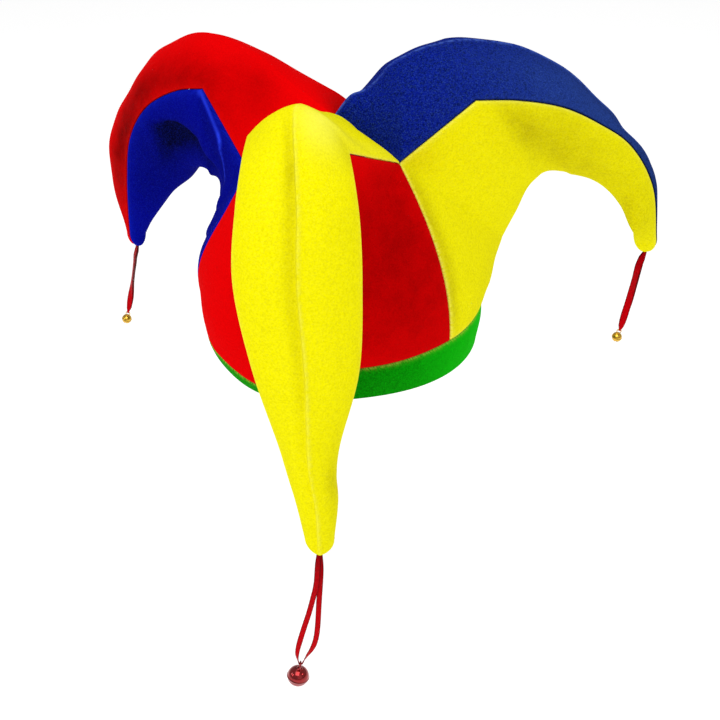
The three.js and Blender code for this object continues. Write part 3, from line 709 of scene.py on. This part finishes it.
class Skin:
    """Grid of one panel with its normals and the values that its finish needs."""

    def __init__(self, horn, kind):
        crown, step = panel_stations()
        first = APEX_START if kind == "upper" else 0.0
        tip = horn.last + np.linspace(0, 1, TIP_ROWS + 1)
        steps = [k + step for k in range(1, horn.last)]
        self.station = np.concatenate([np.maximum(crown, first), *steps, tip])
        self.across = columns_across()
        self.kind = kind
        self.outward = 1 if kind == "upper" else -1
        self.grid = horn.panel(kind, self.station, self.across)
        self.normal = grid_normals(self.grid, self.outward)
        width = running_length(self.grid, 1)
        self.from_clockwise = width
        self.from_counter = width[:, -1:] - width
        self.ridge = width - width[:, COLUMNS // 2, None]
        self.along = running_length(self.grid, 0)
        self.end = self.along[-1:] - self.along
        self.tuck = horn.table["tuck"]
        place = (kind, self.station[:, None], self.across[None])
        # painted shade and highlights of the spots and of the folds' grooves
        self.painted_shading = painted_shading_spots(horn.table["painted_shading"], *place) + horn.folds(*place)[1]
        self.reach = np.broadcast_to(self.station[:, None] / horn.last, width.shape)

    def seam_distance(self):
        """Distance to the nearest sewn edge: a side seam, or the band under an under panel."""
        nearest = np.minimum(self.from_clockwise, self.from_counter)
        return np.minimum(nearest, self.along) if self.kind == "under" else nearest


def shared_edges(skins):
    """Normals that two panels share at their seam. Up to the valley points a panel meets the same
    kind of panel of the next horn, and beyond them the other panel of its own horn."""
    shared = {}
    for name, table in HORNS.items():
        for edge, opposite, column in (("clockwise", "counter", 0), ("counter", "clockwise", -1)):
            other_horn = next(key for key, value in HORNS.items() if value[opposite] == table[edge])
            for kind, other_kind in (("upper", "under"), ("under", "upper")):
                own = skins[name, kind].normal[:, column]
                turn_over = skins[name, other_kind].normal[:, column]
                beside = skins[other_horn, kind].normal[:CROWN_ROWS + 1, -1 - column]
                other = turn_over.copy()
                other[:CROWN_ROWS] = beside[:CROWN_ROWS]
                other[CROWN_ROWS] = unit(turn_over[CROWN_ROWS] + beside[CROWN_ROWS])
                shared[name, kind, edge] = unit(own + other)
    return shared


def panel_piece(name, skin, clockwise, counter, band):
    """Felt panel: the outer skin with its welted ridge, waves and rolled edges, and the inner skin
    one thickness further in. Near a seam both move along the mitre that the two panels share."""
    edge = skin.seam_distance()
    outwards = skin.normal + 0
    outwards += (clockwise[:, None] - outwards) * mitre_share(skin.from_clockwise)
    outwards += (counter[:, None] - outwards) * mitre_share(skin.from_counter)
    if skin.kind == "under":
        outwards += (band[None] - outwards) * mitre_share(skin.along)
    outwards = unit(outwards)
    lift = undulation(skin.grid) * smoothstep(0, WAVE_REACH, edge)
    if skin.kind == "upper":
        start = smoothstep(*TUCK["start"], skin.station)[:, None]
        fade = smoothstep(*TUCK["seam"], edge) * smoothstep(*TUCK["tip"], skin.end) * start
        lift += tuck_lift(skin.ridge, **skin.tuck) * fade
    middle = skin.grid[:, COLUMNS // 2, None] - skin.grid
    gap = unit(middle - skin.normal * np.sum(middle * skin.normal, -1, keepdims=True))
    sink = np.maximum(rolled(edge, ROLL_DEPTH), rolled(skin.end, HEM))
    surface = skin.grid + gap * draw_back(edge)
    outer = surface + outwards * (lift - sink)[..., None]
    inner = surface + outwards * (lift - FELT + rolled(skin.end, HEM))[..., None]
    crest = np.abs(skin.ridge) if skin.kind == "upper" else np.full_like(edge, NO_CREST)
    values = {
        "edge": edge,
        "along": skin.along,
        "ridge": crest,
        "reach": skin.reach,
        # painted shade and highlights of the panel
        "painted_shading": skin.painted_shading,
    }
    return felt_wall(name, outer, inner, skin.outward, values)


def band_piece(azimuth, shared):
    """Felt band: the rim drawn up to the panels' lower edge, bellied out as a parabola, with a
    rolled upper edge in the seam and a round lower edge."""
    share = 0.5 - 0.5 * np.cos(np.pi * np.linspace(0, 1, BAND_ROWS + 1))
    low, high = rim_point(azimuth), band_edge(azimuth)
    belly = heading(azimuth) * BAND_BELLY
    share = share[:, None, None]
    grid = low + (high - low) * share + belly * (4 * share * (1 - share))
    closed = np.concatenate([grid, grid[:, :1]], axis=1)
    normal = grid_normals(np.concatenate([grid[:, -1:], closed], axis=1), -1)[:, 1:-1]
    bottom = running_length(grid, 0)
    top = bottom[-1:] - bottom
    outwards = unit(normal + (shared[None] - normal) * mitre_share(top))
    hem = rolled(bottom, HEM)
    lift = undulation(grid) * smoothstep(0, WAVE_REACH, top) * smoothstep(0, WAVE_REACH / 2, bottom)
    surface = grid - unit(grid[-1:] - grid[:1]) * draw_back(top)
    outer = surface + outwards * (lift - rolled(top, ROLL_DEPTH) - hem)[..., None]
    inner = surface + outwards * (lift - FELT + hem)[..., None]
    around = running_length(closed, 1)[:, :-1]
    # painted shade and highlights of the band round its azimuth
    painted_shading = sum(strength * bell_curve(angle_from(at, azimuth), spread)
              for at, spread, strength in BAND_PAINTED_SHADING)
    values = {
        "edge": top,
        "along": around,
        "ridge": np.full_like(top, NO_CREST),
        "reach": np.zeros_like(top),
        "painted_shading": np.broadcast_to(painted_shading, top.shape),
    }
    return felt_wall("band_felt", outer, inner, -1, values, ring=True)


def felt_pieces():
    """The six panels and the band, with mitres shared along every seam."""
    horns = {name: Horn(table) for name, table in HORNS.items()}
    skins = {(name, kind): Skin(horn, kind) for name, horn in horns.items() for kind in ARC}
    shared = shared_edges(skins)
    pieces = {}
    azimuths, feet = [], []
    for name, horn in horns.items():
        azimuth = horn.start + horn.sweep * (columns_across() + 1) / 2
        mitre = unit(skins[name, "under"].normal[0] + heading(azimuth))
        azimuths.append(azimuth[:-1])
        feet.append(mitre[:-1])
        for kind in ARC:
            sides = (shared[name, kind, "clockwise"], shared[name, kind, "counter"])
            node = f"{name}_horn_upper" if kind == "upper" else f"{name}_under"
            pieces[node] = panel_piece(f"{node}_felt", skins[name, kind], *sides, mitre)
    pieces["band"] = band_piece(np.concatenate(azimuths), np.concatenate(feet))
    return pieces


# Ribbons

def ribbon_frames(route):
    """Centres, tangents and width directions along a route: across is square to the tangent and to
    the way the ribbons face, then turned about the tangent by the route's twist."""
    station = np.linspace(0, len(route) - 1, RIBBON_STEPS * (len(route) - 1) + 1)
    centre = catmull(route[:, :3], station)
    width, twist = (np.interp(station, np.arange(len(route)), route[:, k]) for k in (3, 4))
    tangent = unit(np.gradient(centre, axis=0))
    across = turned(unit(np.cross(heading(FACING), tangent)), tangent, twist)
    return {"centre": centre, "tangent": tangent, "across": across, "width": width}


def doubled_frames(frames, wire):
    """Frames of a doubled ribbon: down one layer, round the ring's wire in a half circle, and up
    the other layer. The layers stand apart along the ribbon's thickness and open out to the wire as
    a bell curve of the way to the end."""
    through = np.cross(frames["tangent"], frames["across"])
    bend = wire + RIBBON["wire_gap"] + RIBBON["doubled"] / 2
    to_end = np.linspace(len(through) / RIBBON_STEPS, 0, len(through))
    opening = bell_curve(to_end, RIBBON["opening"])[:, None]
    apart = RIBBON["layers"] + (bend - RIBBON["layers"]) * opening
    turn = np.radians(np.linspace(0, 180, RIBBON["turn"]))[1:-1, None]
    last = {key: value[-1] for key, value in frames.items()}
    fold = through[-1] * np.cos(turn) + last["tangent"] * np.sin(turn)
    ahead = last["tangent"] * np.cos(turn) - through[-1] * np.sin(turn)
    return {
        "centre": np.vstack([frames["centre"] + through * apart, last["centre"] + fold * bend,
                             (frames["centre"] - through * apart)[::-1]]),
        "tangent": np.vstack([frames["tangent"], ahead, -frames["tangent"][::-1]]),
        "across": np.vstack([frames["across"], np.tile(last["across"], (len(turn), 1)),
                             frames["across"][::-1]]),
        "width": np.concatenate([frames["width"], np.full(len(turn), last["width"]),
                                 frames["width"][::-1]]),
    }


def ribbon_piece(name, frames, thickness):
    """Ribbon carried along its frames: an oval squared by a power to a flat profile, which thickens
    at the selvedges by a smooth step."""
    angle = np.linspace(0, 2 * np.pi, STRIP["points"], endpoint=False)
    side, face = (np.sign(wave) * np.abs(wave) ** STRIP["corner"]
                  for wave in (np.cos(angle), np.sin(angle)))
    bulk = STRIP["thin"] + (1 - STRIP["thin"]) * smoothstep(*STRIP["selvedge"], np.abs(side))
    through = np.cross(frames["tangent"], frames["across"])
    beside = frames["width"][:, None] / 2 * side
    points = (frames["centre"][:, None] + frames["across"][:, None] * beside[..., None]
              + through[:, None] * (thickness / 2 * face * bulk)[None, :, None])
    index = tube_index(points.shape)
    along = running_length(frames["centre"], 0)[:, None] + 0 * side
    values = {
        "along": along,
        "across": beside,
        "end": np.minimum(along, along[-1] - along),
        "selvedge": np.broadcast_to(np.abs(side), along.shape),
    }
    ends = [index[0, -2::-1], index[-1, :-1]]
    return mesh_piece(name, points.reshape(-1, 3), grid_faces(index).tolist(), values, ends)


# Bells

def slot_lips(bell):
    """Latitudes along the slot's axis and the slot's half width there, which swells to a round hole
    near each end of the slot and is nothing past it."""
    pole = np.radians(BELL_GRID["pole"])
    latitude = np.linspace(-pole, pole, BELL_GRID["rows"])
    reach = np.abs(bell["radius"] * np.sin(latitude))
    hole_at = bell["radius"] * BELL["hole"]
    hole = np.sqrt(np.maximum(bell["hole"] ** 2 - (reach - hole_at) ** 2, 0))
    return latitude, np.maximum(hole, np.where(reach < hole_at, bell["slot"] / 2, 0))


def bell_shell(bell, latitude, lip, outer):
    """One skin of the bell: latitudes along the slot's axis Y and turns about it that start at one
    lip of the slot and end at the other. A rolled seam stands out round the middle."""
    radius = bell["radius"] - (0 if outer else bell["wall"])
    latitude, lip = latitude[:, None], lip[:, None]
    lip_turn = np.arcsin(np.clip(lip / (bell["radius"] * np.cos(latitude)), 0, SLOT_LIMIT))
    turn = lip_turn + np.linspace(0, 1, BELL_GRID["columns"]) * (2 * np.pi - 2 * lip_turn)
    ball = np.stack([-np.cos(latitude) * np.sin(turn), np.sin(latitude) + 0 * turn,
                     -np.cos(latitude) * np.cos(turn)], -1)
    seam = BELL["seam"] * bell_curve(ball[..., 2], BELL["spread"]) if outer else 0 * turn
    return ball * (radius * (1 + seam))[..., None]


def shell_faces(shape, closed):
    """Quads of the bell's two skins and of the slot's lips, and the faces that close its poles. In
    a closed row the slot has ended, so the last column is the first and there is no lip."""
    index = tube_index(shape)[:, :-1]
    index[closed, -1] = index[closed, 0]
    inner = index + shape[0] * shape[1]
    slot = ~(closed[:-1] & closed[1:])
    lips = ((index[:, 0], inner[:, 0]), (inner[:, -1], index[:, -1]))
    quads = [grid_faces(index), grid_faces(inner.T)]
    quads += [grid_faces(np.stack(lip))[slot] for lip in lips]
    poles = [index[0, -2::-1], index[-1, :-1], inner[0, :-1], inner[-1, -2::-1]]
    return np.vstack(quads), poles


def ring_points(radius, wire, sides=16, steps=48):
    """Torus: a round wire carried about a circle in the XZ plane."""
    about = np.linspace(0, 2 * np.pi, steps, endpoint=False)[:, None]
    around = np.linspace(0, 2 * np.pi, sides, endpoint=False)
    reach = radius + wire * np.cos(around)
    depth = wire * np.sin(around) + 0 * about
    return np.stack([reach * np.cos(about), depth, reach * np.sin(about)], -1)


def cap_points(bell, steps=10, sides=32):
    """Shank cap under the ring: a low dome on the bell, a quarter ellipse turned about Z."""
    angle = np.linspace(0, np.pi / 2, steps)[:, None]
    about = np.linspace(0, 2 * np.pi, sides, endpoint=False)
    wide = bell["ring"] * (CAP["width"] * np.cos(angle) + CAP["flat"])
    high = bell["radius"] * (BELL["foot"] + BELL["cap"] * np.sin(angle))
    return np.stack([wide * np.cos(about), wide * np.sin(about), high + 0 * about], -1)


def bell_piece(name, bell, wire_point, down, ring_axis):
    """Jingle bell hung by its ring: the slotted shell's two skins and their lips, the shank cap and
    the ring, turned so that the bell hangs along a direction with its ring square to an axis."""
    latitude, lip = slot_lips(bell)
    outer, inner = (bell_shell(bell, latitude, lip, skin) for skin in (True, False))
    ring = ring_points(bell["ring"], bell["wire"])
    ring = ring + UP * (bell["radius"] + bell["ring"] * (1 - RING_SINK))
    cap = cap_points(bell)
    parts = [part.reshape(-1, 3) for part in (outer, inner, ring, cap)]
    counts = [len(part) for part in parts]
    shell, ends = shell_faces(outer.shape, lip == 0)
    wire = tube_index(ring.shape, sum(counts[:2]))
    dome = tube_index(cap.shape, sum(counts[:3]))
    ends += [dome[0, -2::-1], dome[-1, :-1]]
    faces = np.vstack([shell, grid_faces(np.vstack([wire, wire[:1]])), grid_faces(dome)])
    used, faces = np.unique(faces, return_inverse=True)
    ends = [np.searchsorted(used, end) for end in ends]
    local = np.concatenate(parts)
    up = -unit(down)
    y = unit(ring_axis - up * (ring_axis @ up))
    x = np.cross(y, up)
    centre = wire_point - up * (bell["radius"] + bell["ring"] * (2 - RING_SINK))
    points = centre + local @ np.stack([x, y, up])
    inside = np.repeat([0, 1, 0, 0], counts)
    height = local[:, 2] / bell["radius"]
    values = {"inside": inside[used], "height": height[used]}
    return mesh_piece(name, points[used], faces.reshape(-1, 4).tolist(), values, ends)


# Finishes

E = 2.718            # base of the fades by distance


class Socket:
    """Output of a node. Arithmetic on it adds Math nodes to its tree."""

    def __init__(self, tree, output):
        self.tree = tree
        self.output = output

    def node(self, kind, settings, inputs, output=0):
        """Adds a node: its settings first, then the values or links of its sockets."""
        made = self.tree.nodes.new(kind)
        for name, value in settings.items():
            setattr(made, name, value)
        for name, value in inputs.items():
            if isinstance(value, Socket):
                self.tree.links.new(value.output, made.inputs[name])
            else:
                made.inputs[name].default_value = value
        return Socket(self.tree, made.outputs[output])

    def math(self, operation, first, second):
        return self.node("ShaderNodeMath", {"operation": operation}, {0: first, 1: second})

    def __add__(self, other):
        return self.math("ADD", self, other)

    def __radd__(self, other):
        return self.math("ADD", other, self)

    def __sub__(self, other):
        return self.math("SUBTRACT", self, other)

    def __rsub__(self, other):
        return self.math("SUBTRACT", other, self)

    def __mul__(self, other):
        return self.math("MULTIPLY", self, other)

    def __rmul__(self, other):
        return self.math("MULTIPLY", other, self)

    def __pow__(self, other):
        return self.math("POWER", self, other)

    def __rpow__(self, other):
        return self.math("POWER", other, self)

    def sine(self):
        return self.math("SINE", self, 0.0)

    def clamped(self):
        return self.node("ShaderNodeClamp", {}, {"Value": self})

    def ease(self, low, high):
        """Smooth step from 0 at low to 1 at high."""
        return self.node("ShaderNodeMapRange", {"interpolation_type": "SMOOTHSTEP"},
                         {"Value": self, "From Min": low, "From Max": high})

    def attribute(self, name):
        return self.node("ShaderNodeAttribute", {"attribute_name": name}, {}, "Fac")

    def noise(self, vector, scale, detail=2.0, roughness=0.5):
        inputs = {"Vector": vector, "Scale": scale, "Detail": detail, "Roughness": roughness}
        return self.node("ShaderNodeTexNoise", {"noise_dimensions": "3D"}, inputs)

    def bump(self, height, strength, distance):
        return self.node("ShaderNodeBump", {},
                         {"Strength": strength, "Distance": distance, "Height": height})

    def vector(self, x, y, z):
        return self.node("ShaderNodeCombineXYZ", {}, {0: x, 1: y, 2: z})

    def mix(self, factor, first, second):
        """Colour between two colours."""
        inputs = {0: factor, 6: first, 7: second}
        return self.node("ShaderNodeMix", {"data_type": "RGBA"}, inputs, 2)


def colour(red, green, blue):
    """Linear colour from the 0 to 255 values of a screen."""
    screen = np.array([red, green, blue]) / 255
    linear = np.where(screen <= 0.04045, screen / 12.92, ((screen + 0.055) / 1.055) ** 2.4)
    return (*linear.tolist(), 1.0)


def finish(name, constants):
    """New material with a Principled shader whose constant sockets are set. Returns the material,
    the object coordinates to start expressions from, and a function that links a socket."""
    material = bpy.data.materials.new(name)
    material.use_nodes = True
    tree = material.node_tree
    shader = tree.nodes["Principled BSDF"]
    for socket, value in constants.items():
        shader.inputs[socket].default_value = value
    place = Socket(tree, tree.nodes.new("ShaderNodeTexCoord").outputs["Object"])

    def link(socket, value):
        tree.links.new(value.output, shader.inputs[socket])

    return material, place, link


def felt_finish(name, colours, grain, rim, crest, crease, far=None):
    """Velour felt: short mottled pile. Noise of about 3 mm and of under 1 mm shifts the base colour
    a little to the dark and the light one, and painted shade and painted highlights from the spots
    and folds shift it the same way. Next to a seam a painted highlight in flecks square to the edge
    stands for raised pile that catches the light, and the seam itself is a dark line of painted
    shade.
    Far out on a horn the base can change to another colour, a greyer painted sheen. Grain is the
    strength of the mottle and crest that of the painted highlight on the welt of a ridge. Rim and
    crease are pairs of width and strength, of the painted highlight by a seam and of the painted
    shade in it."""
    base, dark, light, highlight_colour = colours
    material, place, link = finish(name, {
        "Roughness": 0.95,
        "Specular IOR Level": 0.015,
        "Sheen Weight": 0.02,
        "Sheen Roughness": 0.5,
        "Sheen Tint": highlight_colour,
    })
    edge, along, ridge, painted_shading = map(place.attribute, ("edge", "along", "ridge", "painted_shading"))
    broad = place.noise(place, 60.0, 3.0, 0.6)
    mottle = place.noise(place, 300.0, 3.0, 0.6)
    pile = place.noise(place, 1300.0, 2.0, 0.6)
    spots = place.noise(place, 700.0, 1.0, 0.4)
    fleck = place.noise(place.vector(along * 0.8, edge * 0.2, 0.0), 1.0, 2.0, 0.6)
    # painted shade and highlights of the spots and folds, mottled a little
    mottled_painted_shading = painted_shading * (broad.ease(0.3, 0.7) * 0.3 + 0.85)
    shade = (mottle.ease(0.36, 0.68) * 0.1 + spots.ease(0.4, 0.72) * 0.24) * grain
    # far out on a horn the base turns to a greyer painted sheen
    tone = place.mix(place.attribute("reach").ease(0.15, 0.8), base, far or base)
    tone = place.mix((shade + mottled_painted_shading.clamped()).clamped(), tone, dark)
    glint = pile.ease(0.45, 0.72) * (0.2 * grain)
    # light pile specks, and the painted highlights of the spots and folds
    tone = place.mix((glint + (mottled_painted_shading * -1.0).clamped()).clamped(), tone, light)
    # painted highlight along the seams, in flecks
    rim_highlight = E ** (edge * (-1.0 / rim[0])) * fleck.ease(0.3, 0.62) * rim[1]
    # painted highlight along the welt of a ridge
    welt = E ** (ridge * ridge * -0.4) * mottle.ease(0.3, 0.6) * crest
    tone = place.mix((rim_highlight + welt).clamped(), tone, highlight_colour)
    # painted shade: a dark line in the seam's groove
    sewn = E ** (edge * edge * (-1.0 / crease[0] ** 2)) * crease[1]
    tone = place.mix(sewn, tone, tuple(value * 0.2 for value in dark[:3]) + (1.0,))
    link("Base Color", tone)
    height = pile * 0.6 + spots * 0.5 + mottle * 0.6 + fleck * E ** (edge * -0.4) * 0.5
    link("Normal", place.bump(height, 0.6, 0.0007))
    return material


def satin_finish(name, base, dark):
    """Satin ribbon: fine threads along its length, a darker selvedge, a slightly uneven gloss, and
    painted shadow that darkens both ends, which hang under a horn's tip."""
    material, place, link = finish(name, {
        "Specular IOR Level": 0.06,
        "Specular Tint": base,
    })
    across, along, end = map(place.attribute, ("across", "along", "end"))
    threads = (across * 42.0).sine() * 0.5 + 0.5
    picks = (along * 14.0).sine() * 0.5 + 0.5
    uneven = place.noise(place.vector(along * 0.35, across * 1.5, 0.0), 1.0, 2.0)
    border = place.attribute("selvedge").ease(0.7, 0.9)
    # painted shadow near both ends, under the horn's tip
    end_shadow = E ** (end * -0.04) * 0.5
    dull = threads * 0.15 + uneven.ease(0.35, 0.7) * 0.3 + border * 0.55 + end_shadow
    link("Base Color", place.mix(dull.clamped(), base, dark))
    link("Roughness", 0.34 + uneven * 0.16 + border * 0.12)
    height = threads * 0.35 + picks * border * 0.6
    link("Normal", place.bump(height, 0.4, 0.0002))
    return material


def bell_finish(name, base, dark, coat):
    """Plated or lacquered sheet metal: cloudy tarnish, a darker rolled seam, a dull inside."""
    material, place, link = finish(name, {"Coat Weight": coat, "Coat Roughness": 0.04})
    inside, height = map(place.attribute, ("inside", "height"))
    cloud = place.noise(place, 420.0, 4.0, 0.6)
    scratch = place.noise(place, 2600.0, 2.0, 0.7)
    seam = E ** (height * height * -90.0)
    tarnish = cloud.ease(0.45, 0.75) * 0.35 + seam * 0.4 + inside * 0.85
    link("Base Color", place.mix(tarnish.clamped(), base, dark))
    link("Metallic", 1.0 - inside * 0.5)
    link("Roughness", 0.16 + cloud.ease(0.4, 0.8) * 0.14 + inside * 0.4)
    link("Normal", place.bump(cloud * 0.5 + scratch * 0.12, 0.25, 0.0003))
    return material


# Camera

def look(view):
    """Camera on a sphere round the origin, shifted so that the origin falls on its pixel."""
    azimuth, elevation = np.radians(view["azimuth"]), np.radians(view["elevation"])
    back = np.array([np.sin(azimuth) * np.cos(elevation), -np.cos(azimuth) * np.cos(elevation),
                     np.sin(elevation)])
    data = bpy.data.cameras.new("camera")
    data.sensor_width = 36
    data.lens = data.sensor_width * view["focal"] / PICTURE
    data.shift_x = 0.5 - view["origin"][0] / PICTURE
    data.shift_y = view["origin"][1] / PICTURE - 0.5
    data.clip_end = 50
    camera = bpy.data.objects.new("camera", data)
    camera.location = back * view["distance"] * MM
    camera.rotation_euler = (np.pi / 2 - elevation, 0, azimuth)
    bpy.context.scene.collection.objects.link(camera)
    bpy.context.scene.camera = camera


look(CAMERA)

# Ribbons and bells

satin = satin_finish("red_satin", colour(206, 0, 12), colour(84, 0, 4))
gold = bell_finish("gold_bell", colour(224, 178, 62), colour(92, 60, 18), coat=0.2)
lacquer = bell_finish("red_bell", colour(150, 0, 6), colour(40, 0, 2), coat=0.8)


def dress(piece, material, slot, node):
    """Gives a piece its finish, hangs it on the root body and hides the part's node that it stands
    for.
    """
    piece.data.materials.append(material)
    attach(piece, "root")
    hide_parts(node)


def hang(side, strip, bell, metal, slot, frames):
    dress(strip, satin, "satin_red", f"{side}_ribbon")
    dress(bell, metal, slot, f"{side}_bell")
    path = frames["centre"] * MM


def hang_side(side, route):
    """Doubled ribbon of a side horn and its gold bell."""
    frames = ribbon_frames(route)
    strip = ribbon_piece(f"{side}_ribbon_satin", doubled_frames(frames, SIDE_BELL["wire"]),
                         RIBBON["doubled"])
    centre, tangent, across = (frames[key][-1] for key in ("centre", "tangent", "across"))
    bell = bell_piece(f"{side}_bell_metal", SIDE_BELL, centre, tangent, np.cross(tangent, across))
    hang(side, strip, bell, gold, "bell_gold", frames)


def hang_front():
    """Ribbon loop of the front horn and the red bell that hangs in it."""
    frames = ribbon_frames(FRONT_ROUTE)
    strip = ribbon_piece("front_ribbon_satin", frames, RIBBON["loop"])
    low = FRONT_ROUTE[FRONT_ROUTE[:, 2].argmin(), :3]
    wire = low + UP * (FRONT_BELL["wire"] + RIBBON["wire_gap"] + RIBBON["loop"] / 2)
    bell = bell_piece("front_bell_metal", FRONT_BELL, wire, FRONT_HANG,
                      np.cross(heading(FACING), UP))
    hang("front", strip, bell, lacquer, "bell_red", frames)


hang_front()
hang_side("left", LEFT_ROUTE)
hang_side("right", RIGHT_ROUTE)

# Felt

# Each felt's colours are its base, its dark pile, which also takes the painted shade, its light
# pile, which also takes the painted highlights, and the painted highlight of its rim and welt
yellow = felt_finish(
    "yellow_felt",
    (colour(245, 237, 0), colour(172, 158, 0), colour(255, 253, 90), colour(255, 252, 120)),
    grain=0.7, rim=(1.4, 0.8), crest=0.2, crease=(0.4, 0.08))
red = felt_finish(
    "red_felt",
    (colour(232, 0, 3), colour(112, 0, 0), colour(255, 20, 14), colour(250, 30, 24)),
    grain=0.3, rim=(2.0, 0.3), crest=0.0, crease=(0.6, 0.5))
# the right horn's blue turns to a greyer painted sheen far out
blue = felt_finish(
    "blue_felt",
    (colour(4, 22, 134), colour(0, 6, 52), colour(48, 78, 160), colour(80, 112, 205)),
    grain=2.6, rim=(1.5, 0.2), crest=0.55, crease=(1.3, 0.95), far=colour(26, 50, 112))
deep_blue = felt_finish(
    "deep_blue_felt",
    (colour(1, 3, 136), colour(0, 0, 28), colour(40, 66, 240), colour(18, 40, 210)),
    grain=0.8, rim=(4.0, 0.6), crest=0.0, crease=(0.6, 0.2))
green = felt_finish(
    "green_felt",
    (colour(4, 148, 6), colour(0, 104, 2), colour(10, 196, 14), colour(200, 224, 80)),
    grain=2.2, rim=(0.9, 0.9), crest=0.0, crease=(0.5, 0.3))

FELTS = {
    "front_horn_upper": (yellow, "felt_yellow"),
    "front_under": (red, "felt_red"),
    "left_horn_upper": (red, "felt_red"),
    "left_under": (deep_blue, "felt_blue"),
    "right_horn_upper": (blue, "felt_blue"),
    "right_under": (yellow, "felt_yellow"),
    "band": (green, "felt_green"),
}
for node, piece in felt_pieces().items():
    dress(piece, *FELTS[node], node)


# Studio

def floor_finish():
    """Pale matt paper with a barely uneven tone."""
    material, place, link = finish("pale_floor", {
        "Roughness": 0.9,
        "Specular IOR Level": 0.1,
        "Emission Color": (1, 1, 1, 1),
        "Emission Strength": 0.35,
    })
    cloud = place.noise(place, 3.0, 2.0)
    link("Base Color", place.mix(cloud, (0.97, 0.97, 0.97, 1), (0.95, 0.95, 0.95, 1)))
    return material


def floor_piece():
    """Wide flat floor well below the bells."""
    corners = np.array([(-1, -1), (1, -1), (1, 1), (-1, 1)]) * FLOOR["half_width"]
    points = np.column_stack([corners, np.full(4, FLOOR["height"])])
    floor = mesh_piece("floor", points, [[0, 1, 2, 3]], {})
    floor.data.materials.append(floor_finish())


def area_light(name, width, height, power, azimuth, elevation, distance):
    """Soft light on a sphere round the hat's middle, facing it."""
    data = bpy.data.lights.new(name, "AREA")
    data.shape = "RECTANGLE"
    data.size = width
    data.size_y = height
    data.energy = power
    lamp = bpy.data.objects.new(name, data)
    turn, lift = np.radians(azimuth), np.radians(elevation)
    level = np.cos(lift) * distance
    lamp.location = (np.cos(turn) * level, np.sin(turn) * level,
                     np.sin(lift) * distance + LIGHT_HEIGHT)
    lamp.rotation_euler = (np.pi / 2 - lift, 0, turn + np.pi / 2)
    bpy.context.scene.collection.objects.link(lamp)


floor_piece()
for name, row in LIGHTS.items():
    area_light(name, *row)

world = bpy.data.worlds.new("studio")
world.use_nodes = True
world.node_tree.nodes["Background"].inputs["Color"].default_value = (1, 1, 1, 1)
world.node_tree.nodes["Background"].inputs["Strength"].default_value = 0.45
bpy.context.scene.world = world
bpy.context.scene.view_settings.view_transform = "Standard"
